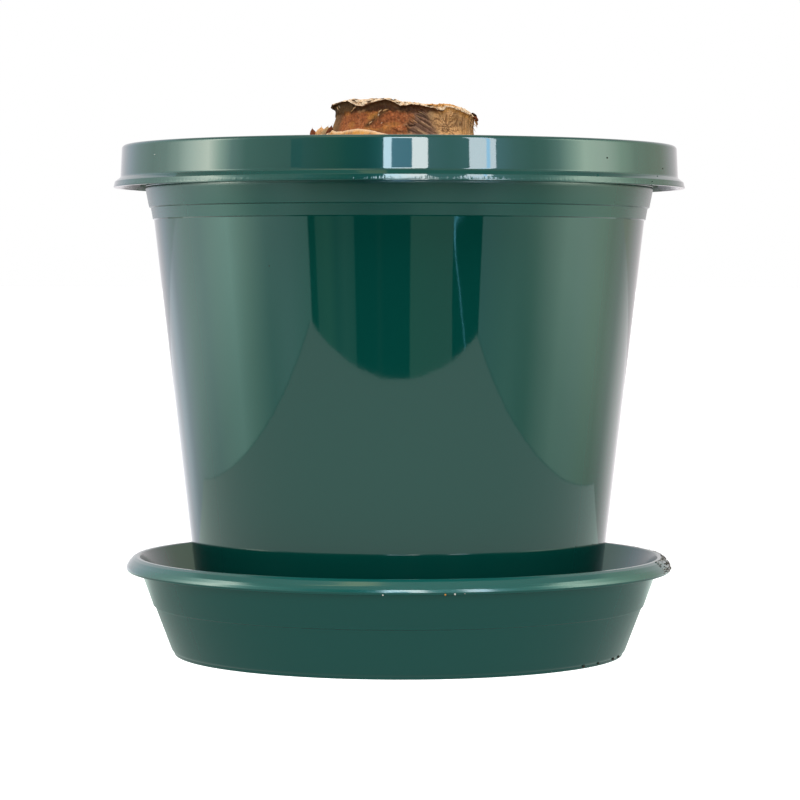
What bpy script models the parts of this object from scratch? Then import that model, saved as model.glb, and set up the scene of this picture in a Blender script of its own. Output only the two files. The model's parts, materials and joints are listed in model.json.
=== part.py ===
"""A potted amaryllis: a dormant bulb planted in a green plastic pot, which stands in its saucer.

The origin is on the surface that the saucer stands on, on the pot's axis. +Z is up and -Y is the front.
Lengths are in millimetres and become metres where a mesh is made.
"""

import math
import random

import bmesh
import bpy
from mathutils import Matrix, Vector, noise

MM = 0.001
MERGE = 0.00001
SIDES = 48
DEGREES_PER_ARC_STEP = 34

# What every moulded wall shares: a small fillet on its edges, half the height over which a step in it
# slopes, how far an upright face leans, and the gap that lies between two pieces that rest on each other
EDGE_FILLET = 0.5
STEP_HALF_HEIGHT = 0.5
DRAFT = 0.3
SEAT_GAP = 0.3

# Saucer
SAUCER_HEIGHT = 26.5
SAUCER_RIM_RADIUS = 74.0
SAUCER_MOUTH_RADIUS = 71.0
SAUCER_FOOT_RADIUS = 59.8
SAUCER_FOOT_HEIGHT = 1.2
SAUCER_FOOT_WIDTH = 2.2
SAUCER_HEEL_RADIUS = 61.5
SAUCER_STEP_HEIGHT = 13.2
SAUCER_STEP_RADIUS = 66.1
SAUCER_STEP = 0.8
SAUCER_WALL_TOP_RADIUS = 69.9
SAUCER_SKIRT_DEPTH = 3.9
SAUCER_SKIRT_HOLLOW = 2.0
SAUCER_WALL = 1.3
SAUCER_FLOOR = 2.6
FLOOR_FILLET = 1.5
HEEL_FILLET = 1.6
RIB_COUNT = 8
RIB_HEIGHT = 1.6
RIB_WIDTH = 2.4
RIB_INNER_RADIUS = 22.0
RIB_OUTER_RADIUS = 55.5
RIB_SINK = 0.6

# Pot
POT_TOP = 137.0
POT_FOOT = SAUCER_FLOOR + RIB_HEIGHT + SEAT_GAP
POT_WALL = 1.4
BODY_TOP_RADIUS = 66.2
BODY_TAPER = 0.12
LOWER_RING_HEIGHT = 117.4
LOWER_RING_STEP = 0.55
UPPER_RING_HEIGHT = 120.8
UPPER_RING_RADIUS = 67.4
UPPER_RING_STEP = 0.25
COLLAR_RADIUS = 68.8
COLLAR_HEIGHT = 125.4
BAND_TOP_RADIUS = 74.8
BAND_FOOT_RADIUS = 75.2
BAND_FOOT_HEIGHT = 128.8
BAND_WALL = 1.4
CROWN_FILLET = 2.4
MOUTH_FILLET = 0.9
LIP_RADIUS = 77.0
LIP_SHOULDER_RADIUS = 76.3
LIP_SHOULDER_HEIGHT = 127.5
LIP_HEIGHT = 125.7
LIP_THICKNESS = 1.3
BASE_PLATE = 1.6
BASE_RECESS = 2.6
DRAIN_COUNT = 8
DRAIN_RADIUS = 4.0
DRAIN_CIRCLE_RADIUS = 38.0
DRAIN_SIDES = 12
NOTCH_COUNT = 4
NOTCH_WIDTH = 12.0
NOTCH_LENGTH = 12.0
NOTCH_HEIGHT = 0.8
CUT_PAST = 1.0

# Bulb: half section of its body and neck as (radius, height), from the neck down to the basal plate
NECK_TOP = 148.0
BULB_OUTLINE = (
    (19.8, 148.0), (19.6, 146.9), (18.8, 145.6), (19.0, 144.0), (19.6, 142.2), (20.4, 140.0),
    (22.2, 136.6), (25.6, 132.0), (30.2, 126.2), (35.2, 119.0), (39.4, 110.6), (42.3, 101.0),
    (43.4, 91.0), (42.6, 81.0), (39.6, 71.5), (34.4, 63.2), (27.4, 57.0), (21.0, 53.8),
)
PLATE_OUTLINE = ((19.6, 52.6), (19.0, 49.6), (16.0, 48.0), (8.0, 47.2))
NECK_SHIFT = 1.5
NECK_FLATTENING = 0.08
SHIFT_FROM, SHIFT_TO = 122.0, 140.0
TOP_WAVE_FROM, TOP_WAVE_TO = 140.0, 146.5
# Height of the neck's torn edge at angles counted from +X, anticlockwise seen from above
NECK_EDGE = (
    (0, 144.9), (14, 146.0), (30, 147.2), (60, 146.8), (95, 148.0), (130, 147.0), (160, 148.2),
    (180, 148.2), (198, 148.8), (212, 149.6), (223, 149.9), (244, 148.6), (265, 149.2), (282, 148.0),
    (306, 147.7), (319, 148.1), (337, 146.9), (348, 146.2),
)
# Layers of cut scales inside the neck's edge, each a crest at a share of its radius and a drop
SCALE_CRESTS = ((0.93, 0.0), (0.72, 1.5), (0.50, 2.3), (0.28, 1.7))
SCALE_VALLEY_DROP = 1.8
SCALE_HALF_WIDTH = 0.045
SCALE_SLANT = 0.2
SCALE_FLATTENING = 0.35
FLUTE_COUNT = 7
FLUTE_DEPTH = 0.5
FLUTE_TURN = 0.04
FLUTE_FROM, FLUTE_TO = 52.0, 70.0

# Roots under the basal plate
ROOT_COUNT = 11
ROOT_RADIUS = 1.9
ROOT_TIP_SHARE = 0.45
ROOT_DROP = 13.0
ROOT_SPREAD = 8.0
ROOT_CIRCLE_RADIUS = 11.5
ROOT_START = 51.0
ROOT_SHARES = (0.0, 0.35, 0.7, 1.0)
ROOT_TURN_SPREAD = 0.25
ROOT_LEAST_START, ROOT_LEAST_DROP, ROOT_LEAST_SPREAD = 0.55, 0.6, 0.5
ROOT_SEED = 7

# Outer tunic: the loose dry skin round the bulb's shoulder. Its torn upper edge goes by angle, height
# and how far it stands off there
TUNIC_THICKNESS = 0.8
TUNIC_GAP = 0.4
TUNIC_FOOT = 106.0
TUNIC_LIFT_FROM = 126.0
TUNIC_LEAST_LIFT_HEIGHT = 1.0
TUNIC_SIDES, TUNIC_ROWS = 72, 7
TUNIC_EDGE = (
    (0, 131, 0.6), (10, 134.5, 1.0), (20, 129, 0.4), (30, 124, 0.2), (35, 118.5, 0.1), (40, 127, 0.3),
    (50, 133, 1.2), (60, 129, 0.5), (70, 136.5, 1.6), (80, 131, 0.6), (90, 134, 0.9), (100, 138.6, 2.0),
    (110, 133, 0.8), (115, 121, 0.2), (120, 130, 0.4), (130, 136, 1.4), (140, 132, 0.7),
    (150, 138, 1.8), (160, 133, 1.2), (170, 138.2, 3.0), (175, 141.4, 4.4), (180, 138.2, 2.4),
    (185, 140, 2.0), (190, 142.5, 1.8), (195, 140.4, 0.9), (200, 142.1, 0.5), (215, 141.5, 0.4),
    (230, 141.3, 0.5), (245, 140.4, 0.4), (260, 139.8, 0.3), (270, 138.4, 0.2), (280, 134, 0.2),
    (290, 136, 0.4), (300, 129, 0.2), (305, 120, 0.1), (310, 127, 0.3), (320, 131.5, 0.8),
    (330, 128, 0.4), (340, 135.5, 1.3), (350, 130.5, 0.6),
)

# Soil
SOIL_TOP = 116.0
SOIL_GAP = 0.35
SOIL_TUNIC_GAP = 0.55
SOIL_MOUND = 1.6
SOIL_LUMP_SIZES = ((14.0, 1.3), (5.5, 0.8))
SOIL_RINGS = 5
SOIL_FOOT_CHAMFER = 1.7
TUNIC_HOLE_FOOT = TUNIC_FOOT - 1.0
TUNIC_HOLE_TOP = 110.6
ROOT_HOLE_RADIUS = 22.5
ROOT_HOLE_FLOOR = 34.0
ROOT_HOLE_CHAMFER = 6.0
BULB_HOLE_ABOVE_PLATE = 2.0
SURFACE_DEPTH = 1.0

# Colours and finishes
PLASTIC_GREEN, PLASTIC_ROUGHNESS = (0.004, 0.052, 0.04), 0.1
SOIL_BROWN, SOIL_ROUGHNESS = (0.045, 0.028, 0.018), 0.95
BULB_BROWN, BULB_ROUGHNESS = (0.33, 0.14, 0.065), 0.7
TUNIC_TAN, TUNIC_ROUGHNESS = (0.52, 0.31, 0.15), 0.75
MOULDED_SHARP_DEGREES = 35
GROWN_SHARP_DEGREES = 50


def clear_scene():
    for obj in list(bpy.data.objects):
        bpy.data.objects.remove(obj, do_unlink=True)


def new_collection(name):
    made = bpy.data.collections.new(name)
    bpy.context.scene.collection.children.link(made)
    return made


def plain_material(name, colour, roughness):
    material = bpy.data.materials.new(name)
    material.use_nodes = True
    shader = material.node_tree.nodes["Principled BSDF"]
    shader.inputs["Base Color"].default_value = (*colour, 1)
    shader.inputs["Roughness"].default_value = roughness
    shader.inputs["Metallic"].default_value = 0
    material.diffuse_color = (*colour, 1)
    return material


def between(table, at):
    """The value at a place in a table of (place, value), on straight lines between its entries."""
    table = sorted(table)
    for (a, low), (b, high) in zip(table, table[1:]):
        if at <= b:
            return low + (high - low) * max(0.0, at - a) / (b - a)
    return table[-1][1]


def smooth(low, high, at):
    """0 up to low, 1 from high on, and an even S-curve between."""
    share = min(1.0, max(0.0, (at - low) / (high - low)))
    return share * share * (3 - 2 * share)


def rounded(corners):
    """(radius, height) points of an outline given as (radius, height, fillet), with an arc at each fillet."""
    points = []
    for i, (r, z, fillet) in enumerate(corners):
        here = Vector((r, z))
        if not fillet:
            points.append((r, z))
            continue
        back = (Vector(corners[i - 1][:2]) - here).normalized()
        ahead = (Vector(corners[i + 1][:2]) - here).normalized()
        opening = back.angle(ahead)
        turn = math.pi - opening
        centre = here + (back + ahead).normalized() * (fillet / math.sin(opening / 2))
        start = here + back * (fillet / math.tan(opening / 2)) - centre
        side = 1 if back.cross(ahead) > 0 else -1
        steps = max(1, round(math.degrees(turn) / DEGREES_PER_ARC_STEP))
        for k in range(steps + 1):
            spoke = Matrix.Rotation(-side * turn * k / steps, 2) @ start
            points.append(tuple(centre + spoke))
    return points


def realise(obj):
    """Turns the object's modifiers into its mesh."""
    graph = bpy.context.evaluated_depsgraph_get()
    mesh = bpy.data.meshes.new_from_object(obj.evaluated_get(graph))
    obj.modifiers.clear()
    obj.data = mesh
    return obj


def finish(obj, material, sharp_degrees=GROWN_SHARP_DEGREES):
    """Gives the object its material and smooth shading, with edges from that angle on left sharp."""
    obj.data.materials.clear()
    obj.data.materials.append(material)
    obj.data.shade_smooth()
    obj.data.set_sharp_from_angle(angle=math.radians(sharp_degrees))
    return obj


def grown(outline, gap):
    """An outline that runs from top to bottom, moved outwards by a gap at a right angle to itself."""
    moved = []
    for i, here in enumerate(outline):
        above = Vector(outline[max(i - 1, 0)])
        below = Vector(outline[min(i + 1, len(outline) - 1)])
        along = (below - above).normalized()
        moved.append((here[0] - along.y * gap, here[1] + along.x * gap))
    return moved


def turned(name, outline, collection, sides=SIDES):
    """The outline of (radius, height), which runs down its outer side, swept round the Z axis."""
    mesh = bpy.data.meshes.new(name)
    points = [(r * MM, 0, z * MM) for r, z in outline]
    mesh.from_pydata(points, [(i, i + 1) for i in range(len(points) - 1)], [])
    obj = bpy.data.objects.new(name, mesh)
    collection.objects.link(obj)
    screw = obj.modifiers.new("Turn", "SCREW")
    screw.steps = screw.render_steps = sides
    screw.use_merge_vertices = True
    screw.merge_threshold = MERGE
    return realise(obj)


def block(name, size, place, turn, collection):
    """A box of that size in millimetres, centred on place, then turned about the Z axis."""
    mesh = bpy.data.meshes.new(name)
    shape = bmesh.new()
    bmesh.ops.create_cube(shape, size=MM)
    bmesh.ops.scale(shape, vec=size, verts=shape.verts)
    bmesh.ops.translate(shape, vec=Vector(place) * MM, verts=shape.verts)
    bmesh.ops.rotate(shape, matrix=Matrix.Rotation(turn, 3, "Z"), verts=shape.verts)
    shape.to_mesh(mesh)
    shape.free()
    obj = bpy.data.objects.new(name, mesh)
    collection.objects.link(obj)
    return obj


def round_bar(name, radius, bottom, top, place, collection):
    """An upright bar from bottom to top, at (x, y)."""
    mesh = bpy.data.meshes.new(name)
    shape = bmesh.new()
    bmesh.ops.create_cone(
        shape, cap_ends=True, segments=DRAIN_SIDES, radius1=radius * MM, radius2=radius * MM,
        depth=(top - bottom) * MM,
    )
    bmesh.ops.translate(shape, vec=Vector((*place, (top + bottom) / 2)) * MM, verts=shape.verts)
    shape.to_mesh(mesh)
    shape.free()
    obj = bpy.data.objects.new(name, mesh)
    collection.objects.link(obj)
    return obj


def combine(obj, others, operation, solver="EXACT"):
    """Joins every object of the collection to obj, or cuts it from obj, and removes the collection."""
    boolean = obj.modifiers.new("Combine", "BOOLEAN")
    boolean.operand_type = "COLLECTION"
    boolean.collection = others
    boolean.operation = operation
    boolean.solver = solver
    realise(obj)
    for other in list(others.objects):
        bpy.data.objects.remove(other, do_unlink=True)
    bpy.data.collections.remove(others)
    return obj


def saucer_outline():
    """Half section of the saucer: floor, inner wall, rolled rim, outer wall and foot ring."""
    heel = SAUCER_FOOT_HEIGHT + DRAFT
    heel_slope = (SAUCER_STEP_RADIUS - SAUCER_HEEL_RADIUS) / (SAUCER_STEP_HEIGHT - heel)
    skirt_foot = SAUCER_HEIGHT - SAUCER_SKIRT_DEPTH
    above_step = SAUCER_STEP_RADIUS + SAUCER_STEP
    step_foot = SAUCER_STEP_HEIGHT - STEP_HALF_HEIGHT
    step_top = SAUCER_STEP_HEIGHT + STEP_HALF_HEIGHT
    upper_slope = (SAUCER_WALL_TOP_RADIUS - above_step) / (skirt_foot - step_top)
    skirt_ceiling = skirt_foot + SAUCER_SKIRT_HOLLOW
    recess = SAUCER_FLOOR - SAUCER_WALL
    foot_inside = SAUCER_FOOT_RADIUS - SAUCER_FOOT_WIDTH
    return rounded([
        (0, SAUCER_FLOOR, 0),
        (SAUCER_HEEL_RADIUS + heel_slope * (SAUCER_FLOOR - heel) - SAUCER_WALL, SAUCER_FLOOR, FLOOR_FILLET),
        (SAUCER_STEP_RADIUS - SAUCER_WALL, step_foot, 0),
        (above_step - SAUCER_WALL, step_top, 0),
        (SAUCER_MOUTH_RADIUS - SAUCER_WALL, SAUCER_HEIGHT, EDGE_FILLET),
        (SAUCER_MOUTH_RADIUS, SAUCER_HEIGHT, EDGE_FILLET),
        (SAUCER_RIM_RADIUS, skirt_foot + STEP_HALF_HEIGHT, EDGE_FILLET),
        (SAUCER_RIM_RADIUS - DRAFT, skirt_foot, 0),
        (SAUCER_RIM_RADIUS - SAUCER_WALL, skirt_foot + DRAFT, 0),
        (SAUCER_WALL_TOP_RADIUS + upper_slope * SAUCER_SKIRT_HOLLOW + DRAFT, skirt_ceiling, 0),
        (SAUCER_WALL_TOP_RADIUS, skirt_foot, 0),
        (above_step, step_top, 0),
        (SAUCER_STEP_RADIUS, step_foot, 0),
        (SAUCER_HEEL_RADIUS, heel, HEEL_FILLET),
        (SAUCER_FOOT_RADIUS + DRAFT, SAUCER_FOOT_HEIGHT, 0),
        (SAUCER_FOOT_RADIUS, 0, 0),
        (foot_inside, 0, 0),
        (foot_inside - DRAFT, recess, 0),
        (0, recess, 0),
    ])


def make_saucer(collection, material):
    saucer = turned("saucer", saucer_outline(), collection)
    ribs = new_collection("ribs")
    length = RIB_OUTER_RADIUS - RIB_INNER_RADIUS
    middle = (RIB_OUTER_RADIUS + RIB_INNER_RADIUS) / 2
    height = RIB_HEIGHT + RIB_SINK
    for k in range(RIB_COUNT):
        turn = math.tau * (k + 0.5) / RIB_COUNT
        place = (middle, 0, SAUCER_FLOOR + RIB_HEIGHT - height / 2)
        block("rib", (length, RIB_WIDTH, height), place, turn, ribs)
    combine(saucer, ribs, "UNION")
    return finish(saucer, material, MOULDED_SHARP_DEGREES)


def body_radius(z):
    """Outer radius of the pot's tapered body."""
    return BODY_TOP_RADIUS - BODY_TAPER * (LOWER_RING_HEIGHT - z)


def pot_inner_radius(z):
    return body_radius(z) - POT_WALL


def pot_outline():
    """Half section of the pot: base, inner wall, rim with its hanging band and lip, outer wall and foot."""
    plate_foot = POT_FOOT + BASE_RECESS
    plate_top = plate_foot + BASE_PLATE
    inner_collar = COLLAR_RADIUS - POT_WALL
    band_ceiling = POT_TOP - BAND_WALL
    foot_inside = pot_inner_radius(POT_FOOT) - DRAFT
    return rounded([
        (0, plate_top, 0),
        (pot_inner_radius(plate_top), plate_top, FLOOR_FILLET),
        (pot_inner_radius(LOWER_RING_HEIGHT), LOWER_RING_HEIGHT, 0),
        (inner_collar, COLLAR_HEIGHT, 0),
        (inner_collar, POT_TOP, MOUTH_FILLET),
        (BAND_TOP_RADIUS, POT_TOP, CROWN_FILLET),
        (BAND_FOOT_RADIUS, BAND_FOOT_HEIGHT, 0),
        (LIP_SHOULDER_RADIUS, LIP_SHOULDER_HEIGHT, EDGE_FILLET),
        (LIP_RADIUS, LIP_HEIGHT + STEP_HALF_HEIGHT, EDGE_FILLET),
        (LIP_RADIUS - DRAFT, LIP_HEIGHT, 0),
        (LIP_RADIUS - LIP_THICKNESS, LIP_HEIGHT, 0),
        (BAND_FOOT_RADIUS - BAND_WALL, BAND_FOOT_HEIGHT - DRAFT, 0),
        (BAND_TOP_RADIUS - BAND_WALL, band_ceiling, CROWN_FILLET - BAND_WALL),
        (COLLAR_RADIUS + DRAFT, band_ceiling, 0),
        (COLLAR_RADIUS, COLLAR_HEIGHT, 0),
        (UPPER_RING_RADIUS + UPPER_RING_STEP, UPPER_RING_HEIGHT + DRAFT, 0),
        (UPPER_RING_RADIUS, UPPER_RING_HEIGHT - DRAFT, 0),
        (BODY_TOP_RADIUS + LOWER_RING_STEP, LOWER_RING_HEIGHT + STEP_HALF_HEIGHT, 0),
        (BODY_TOP_RADIUS, LOWER_RING_HEIGHT - STEP_HALF_HEIGHT, 0),
        (body_radius(POT_FOOT), POT_FOOT, EDGE_FILLET),
        (foot_inside, POT_FOOT, 0),
        (foot_inside - DRAFT, plate_foot, 0),
        (0, plate_foot, 0),
    ])


def make_pot(collection, material):
    pot = turned("pot", pot_outline(), collection)
    cutters = new_collection("cutters")
    for k in range(DRAIN_COUNT):
        turn = math.tau * k / DRAIN_COUNT
        place = (DRAIN_CIRCLE_RADIUS * math.cos(turn), DRAIN_CIRCLE_RADIUS * math.sin(turn))
        bottom = POT_FOOT + BASE_RECESS - CUT_PAST
        round_bar("drain", DRAIN_RADIUS, bottom, bottom + BASE_PLATE + 2 * CUT_PAST, place, cutters)
    for k in range(NOTCH_COUNT):
        turn = math.tau * (k + 0.5) / NOTCH_COUNT
        place = (body_radius(POT_FOOT), 0, POT_FOOT + NOTCH_HEIGHT / 2 - CUT_PAST)
        block("notch", (NOTCH_LENGTH, NOTCH_WIDTH, NOTCH_HEIGHT + 2 * CUT_PAST), place, turn, cutters)
    combine(pot, cutters, "DIFFERENCE")
    return finish(pot, material, MOULDED_SHARP_DEGREES)


def bulb_radius(z):
    """Radius of the bulb's plain body at a height."""
    return between([(height, r) for r, height in BULB_OUTLINE], z)


def neck_edge(degrees):
    """Height of the neck's torn edge at an angle, smooth all the way round."""
    table = [*NECK_EDGE, (NECK_EDGE[0][0] + 360, NECK_EDGE[0][1])]
    degrees %= 360
    for (a, low), (b, high) in zip(table, table[1:]):
        if a <= degrees <= b:
            return low + (high - low) * smooth(a, b, degrees)
    return table[-1][1]


def leaning(theta, r, z):
    """The point at that angle, radius and height once the neck is moved to one side and flattened."""
    share = smooth(SHIFT_FROM, SHIFT_TO, z)
    x = r * math.cos(theta) + share * NECK_SHIFT
    y = r * math.sin(theta) * (1 - share * NECK_FLATTENING)
    return Vector((x, y, z)) * MM


def scale_layers():
    """Half section of the cut scales on top of the neck, from the axis out to the torn edge."""
    edge_radius = BULB_OUTLINE[0][0]
    points = [(0, NECK_TOP - SCALE_CRESTS[-1][1] - SCALE_VALLEY_DROP)]
    for share, drop in reversed(SCALE_CRESTS):
        crest = NECK_TOP - drop
        points += [
            (edge_radius * (share - 2 * SCALE_HALF_WIDTH), crest - SCALE_VALLEY_DROP),
            (edge_radius * (share - SCALE_HALF_WIDTH), crest - SCALE_SLANT),
            (edge_radius * (share + SCALE_HALF_WIDTH), crest),
        ]
    return points[:-1]


def bulb_surface(place):
    """Where a point of the plain turned bulb goes on the grown one: fluted, leaning and torn at its top."""
    r = math.hypot(place.x, place.y) / MM
    z = place.z / MM
    theta = math.atan2(place.y, place.x)
    on_top = smooth(TOP_WAVE_FROM, TOP_WAVE_TO, z)
    wave = (neck_edge(math.degrees(theta)) - NECK_TOP) * on_top
    flute = (1 + math.cos(FLUTE_COUNT * theta + FLUTE_TURN * z)) / 2
    depth = FLUTE_DEPTH * smooth(FLUTE_FROM, FLUTE_TO, z) * (1 - on_top) * flute
    moved = leaning(theta, max(0.0, r - depth), z + wave)
    inside = on_top * (1 - smooth(0, 1, r / BULB_OUTLINE[0][0]))
    moved.y *= 1 - SCALE_FLATTENING * inside
    return moved


def make_root(k, draw, collection):
    """One fleshy root, a tapered tube that leaves the basal plate and bends outwards."""
    turn = math.tau * (k + draw.uniform(-ROOT_TURN_SPREAD, ROOT_TURN_SPREAD)) / ROOT_COUNT
    start = ROOT_CIRCLE_RADIUS * draw.uniform(ROOT_LEAST_START, 1)
    drop = ROOT_DROP * draw.uniform(ROOT_LEAST_DROP, 1)
    spread = ROOT_SPREAD * draw.uniform(ROOT_LEAST_SPREAD, 1)
    data = bpy.data.curves.new("root", "CURVE")
    data.dimensions = "3D"
    data.bevel_depth = ROOT_RADIUS * MM
    data.bevel_resolution = 1
    data.use_fill_caps = True
    path = data.splines.new("POLY")
    path.points.add(len(ROOT_SHARES) - 1)
    for point, share in zip(path.points, ROOT_SHARES):
        r = start + spread * share**2
        z = ROOT_START - drop * share
        point.co = (r * math.cos(turn) * MM, r * math.sin(turn) * MM, z * MM, 1)
        point.radius = 1 - (1 - ROOT_TIP_SHARE) * share
    curve = bpy.data.objects.new("root", data)
    collection.objects.link(curve)
    graph = bpy.context.evaluated_depsgraph_get()
    mesh = bpy.data.meshes.new_from_object(curve.evaluated_get(graph))
    shape = bmesh.new()
    shape.from_mesh(mesh)
    bmesh.ops.remove_doubles(shape, verts=shape.verts, dist=MERGE)
    shape.to_mesh(mesh)
    shape.free()
    root = bpy.data.objects.new("root_solid", mesh)
    root.matrix_world = curve.matrix_world
    collection.objects.link(root)
    bpy.data.objects.remove(curve, do_unlink=True)


def make_bulb(collection, material):
    """Bulb, neck, basal plate and roots as the one body that they grew as."""
    outline = [*scale_layers(), *BULB_OUTLINE, *PLATE_OUTLINE, (0, PLATE_OUTLINE[-1][1])]
    bulb = turned("bulb", outline, collection)
    for vertex in bulb.data.vertices:
        vertex.co = bulb_surface(vertex.co)
    roots = new_collection("roots")
    draw = random.Random(ROOT_SEED)
    for k in range(ROOT_COUNT):
        make_root(k, draw, roots)
    combine(bulb, roots, "UNION", "MANIFOLD")
    return finish(bulb, material)


def tunic_point(theta, up):
    """The point of the tunic's inner face at an angle and at a share of its height there."""
    degrees = math.degrees(theta) % 360
    edge = [*TUNIC_EDGE, (TUNIC_EDGE[0][0] + 360, *TUNIC_EDGE[0][1:])]
    top = between([(angle, height) for angle, height, _ in edge], degrees)
    stand_off = between([(angle, off) for angle, _, off in edge], degrees)
    z = TUNIC_FOOT + (top - TUNIC_FOOT) * up
    free = smooth(TUNIC_LIFT_FROM, max(top, TUNIC_LIFT_FROM + TUNIC_LEAST_LIFT_HEIGHT), z)
    return leaning(theta, bulb_radius(z) + TUNIC_GAP + stand_off * free, z)


def make_tunic(collection, material):
    """The torn dry skin: a tube bent round the bulb's shoulder and given its thickness outwards."""
    shares_down = [1 - k / TUNIC_ROWS for k in range(TUNIC_ROWS + 1)]
    tunic = turned("outer_tunic", [(1, share) for share in shares_down], collection, TUNIC_SIDES)
    for vertex in tunic.data.vertices:
        theta = math.atan2(vertex.co.y, vertex.co.x)
        vertex.co = tunic_point(theta, vertex.co.z / MM)
    split = tunic.modifiers.new("Triangles", "TRIANGULATE")
    split.quad_method = "FIXED"
    solidify = tunic.modifiers.new("Thickness", "SOLIDIFY")
    solidify.thickness = TUNIC_THICKNESS * MM
    solidify.offset = 1
    realise(tunic)
    return finish(tunic, material)


def soil_outline():
    """Half section of the soil: the hole for roots, bulb and tunic, the surface, and the underside."""
    skin_room = TUNIC_GAP + TUNIC_THICKNESS + SOIL_TUNIC_GAP
    hole_foot = PLATE_OUTLINE[0][1] + BULB_HOLE_ABOVE_PLATE
    in_soil = [(r, z) for r, z in BULB_OUTLINE if hole_foot < z < TUNIC_HOLE_FOOT]
    hole = [
        (0, ROOT_HOLE_FLOOR),
        (ROOT_HOLE_RADIUS - ROOT_HOLE_CHAMFER, ROOT_HOLE_FLOOR),
        (ROOT_HOLE_RADIUS, ROOT_HOLE_FLOOR + ROOT_HOLE_CHAMFER),
        *reversed(grown(in_soil, SOIL_GAP)),
        (bulb_radius(TUNIC_HOLE_FOOT) + SOIL_GAP, TUNIC_HOLE_FOOT),
        (bulb_radius(TUNIC_HOLE_FOOT) + skin_room, TUNIC_HOLE_FOOT),
        (bulb_radius(TUNIC_HOLE_TOP) + skin_room, TUNIC_HOLE_TOP),
    ]
    mouth = bulb_radius(SOIL_TOP) + skin_room
    wall = pot_inner_radius(SOIL_TOP) - SOIL_GAP
    surface = []
    for k in range(SOIL_RINGS + 1):
        share = k / SOIL_RINGS
        surface.append((mouth + (wall - mouth) * share, SOIL_TOP + SOIL_MOUND * (1 - share) ** 2))
    base = POT_FOOT + BASE_RECESS + BASE_PLATE + SEAT_GAP
    foot_radius = pot_inner_radius(base) - SOIL_GAP
    foot = [(foot_radius, base + SOIL_FOOT_CHAMFER), (foot_radius - SOIL_FOOT_CHAMFER, base), (0, base)]
    return [*hole, *surface, *foot]


def make_soil(collection, material):
    soil = turned("soil", soil_outline(), collection)
    for vertex in soil.data.vertices:
        if vertex.co.z < (SOIL_TOP - SURFACE_DEPTH) * MM:
            continue
        for size, height in SOIL_LUMP_SIZES:
            vertex.co.z += height * MM * noise.noise(vertex.co / (size * MM))
    return finish(soil, material)


def main():
    clear_scene()
    parts = new_collection("potted_amaryllis")
    make_saucer(parts, plain_material("saucer_plastic", PLASTIC_GREEN, PLASTIC_ROUGHNESS))
    make_pot(parts, plain_material("pot_plastic", PLASTIC_GREEN, PLASTIC_ROUGHNESS))
    make_soil(parts, plain_material("potting_soil", SOIL_BROWN, SOIL_ROUGHNESS))
    make_bulb(parts, plain_material("bulb_skin", BULB_BROWN, BULB_ROUGHNESS))
    make_tunic(parts, plain_material("dry_tunic", TUNIC_TAN, TUNIC_ROUGHNESS))


main()
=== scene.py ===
"""Looks of the potted amaryllis bulb: finely turned plastic, soil, the bulb's torn neck and its tunic.

Lengths are in millimetres and become metres where a mesh is made. Those of the camera, the materials, the
floor's pool of light and the mirrored room are in metres from the start. Angles round the pot's axis are
counted from +X, anticlockwise seen from above, so 270 degrees is the front.
"""

import json
import math
import random

import bmesh
import bpy
import numpy as np
from mathutils import Matrix, Vector

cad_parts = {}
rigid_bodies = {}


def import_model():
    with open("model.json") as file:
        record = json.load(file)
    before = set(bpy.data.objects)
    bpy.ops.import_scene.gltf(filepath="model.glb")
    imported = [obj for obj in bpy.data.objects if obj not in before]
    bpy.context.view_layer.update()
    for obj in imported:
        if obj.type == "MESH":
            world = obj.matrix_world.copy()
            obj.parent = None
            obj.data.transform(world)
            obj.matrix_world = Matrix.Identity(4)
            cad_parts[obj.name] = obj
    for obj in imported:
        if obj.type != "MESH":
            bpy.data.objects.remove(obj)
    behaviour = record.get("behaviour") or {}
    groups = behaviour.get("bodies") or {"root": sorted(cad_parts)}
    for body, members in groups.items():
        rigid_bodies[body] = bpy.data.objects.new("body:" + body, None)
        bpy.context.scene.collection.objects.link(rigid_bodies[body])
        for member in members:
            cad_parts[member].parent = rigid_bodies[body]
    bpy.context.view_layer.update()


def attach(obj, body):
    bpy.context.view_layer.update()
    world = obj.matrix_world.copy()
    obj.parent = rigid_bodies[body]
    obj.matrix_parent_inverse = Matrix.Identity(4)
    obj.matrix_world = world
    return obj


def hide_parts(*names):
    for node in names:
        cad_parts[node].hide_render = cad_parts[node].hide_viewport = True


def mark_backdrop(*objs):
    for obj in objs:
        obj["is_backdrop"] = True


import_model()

MM = 0.001
MERGE = 0.00001

# Camera: the photograph's viewing angle, almost level and a little below the rim
CAMERA_PLACE = (0.0003, -0.852, 0.1016)
CAMERA_PITCH = math.radians(-2.224)
CAMERA_ROLL = math.radians(0.1)
CAMERA_LENS = 141.3
SENSOR_WIDTH = 36.0

# Turned plastic: sides of a full turn, degrees of an arc's step and the longest step along a straight run
FINE_SIDES = 256
FINE_ARC_STEP = 9.0
FINE_RUN = 4.0
RUN_END = 0.12
SHARP_DEGREES = 32

# What every moulded wall shares
EDGE_FILLET = 0.5
STEP_HALF_HEIGHT = 0.15
DRAFT = 0.3
SEAT_GAP = 0.3

# Saucer
SAUCER_HEIGHT = 26.5
SAUCER_MOUTH_RADIUS = 70.2
SAUCER_FOOT_RADIUS = 60.8
SAUCER_FOOT_HEIGHT = 0.8
SAUCER_FOOT_WIDTH = 2.2
SAUCER_HEEL_RADIUS = 61.5
SAUCER_STEP_HEIGHT = 13.2
SAUCER_STEP_RADIUS = 66.1
SAUCER_STEP = 0.5
SAUCER_WALL_TOP_RADIUS = 69.9
SAUCER_SKIRT_DEPTH = 3.9
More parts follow.
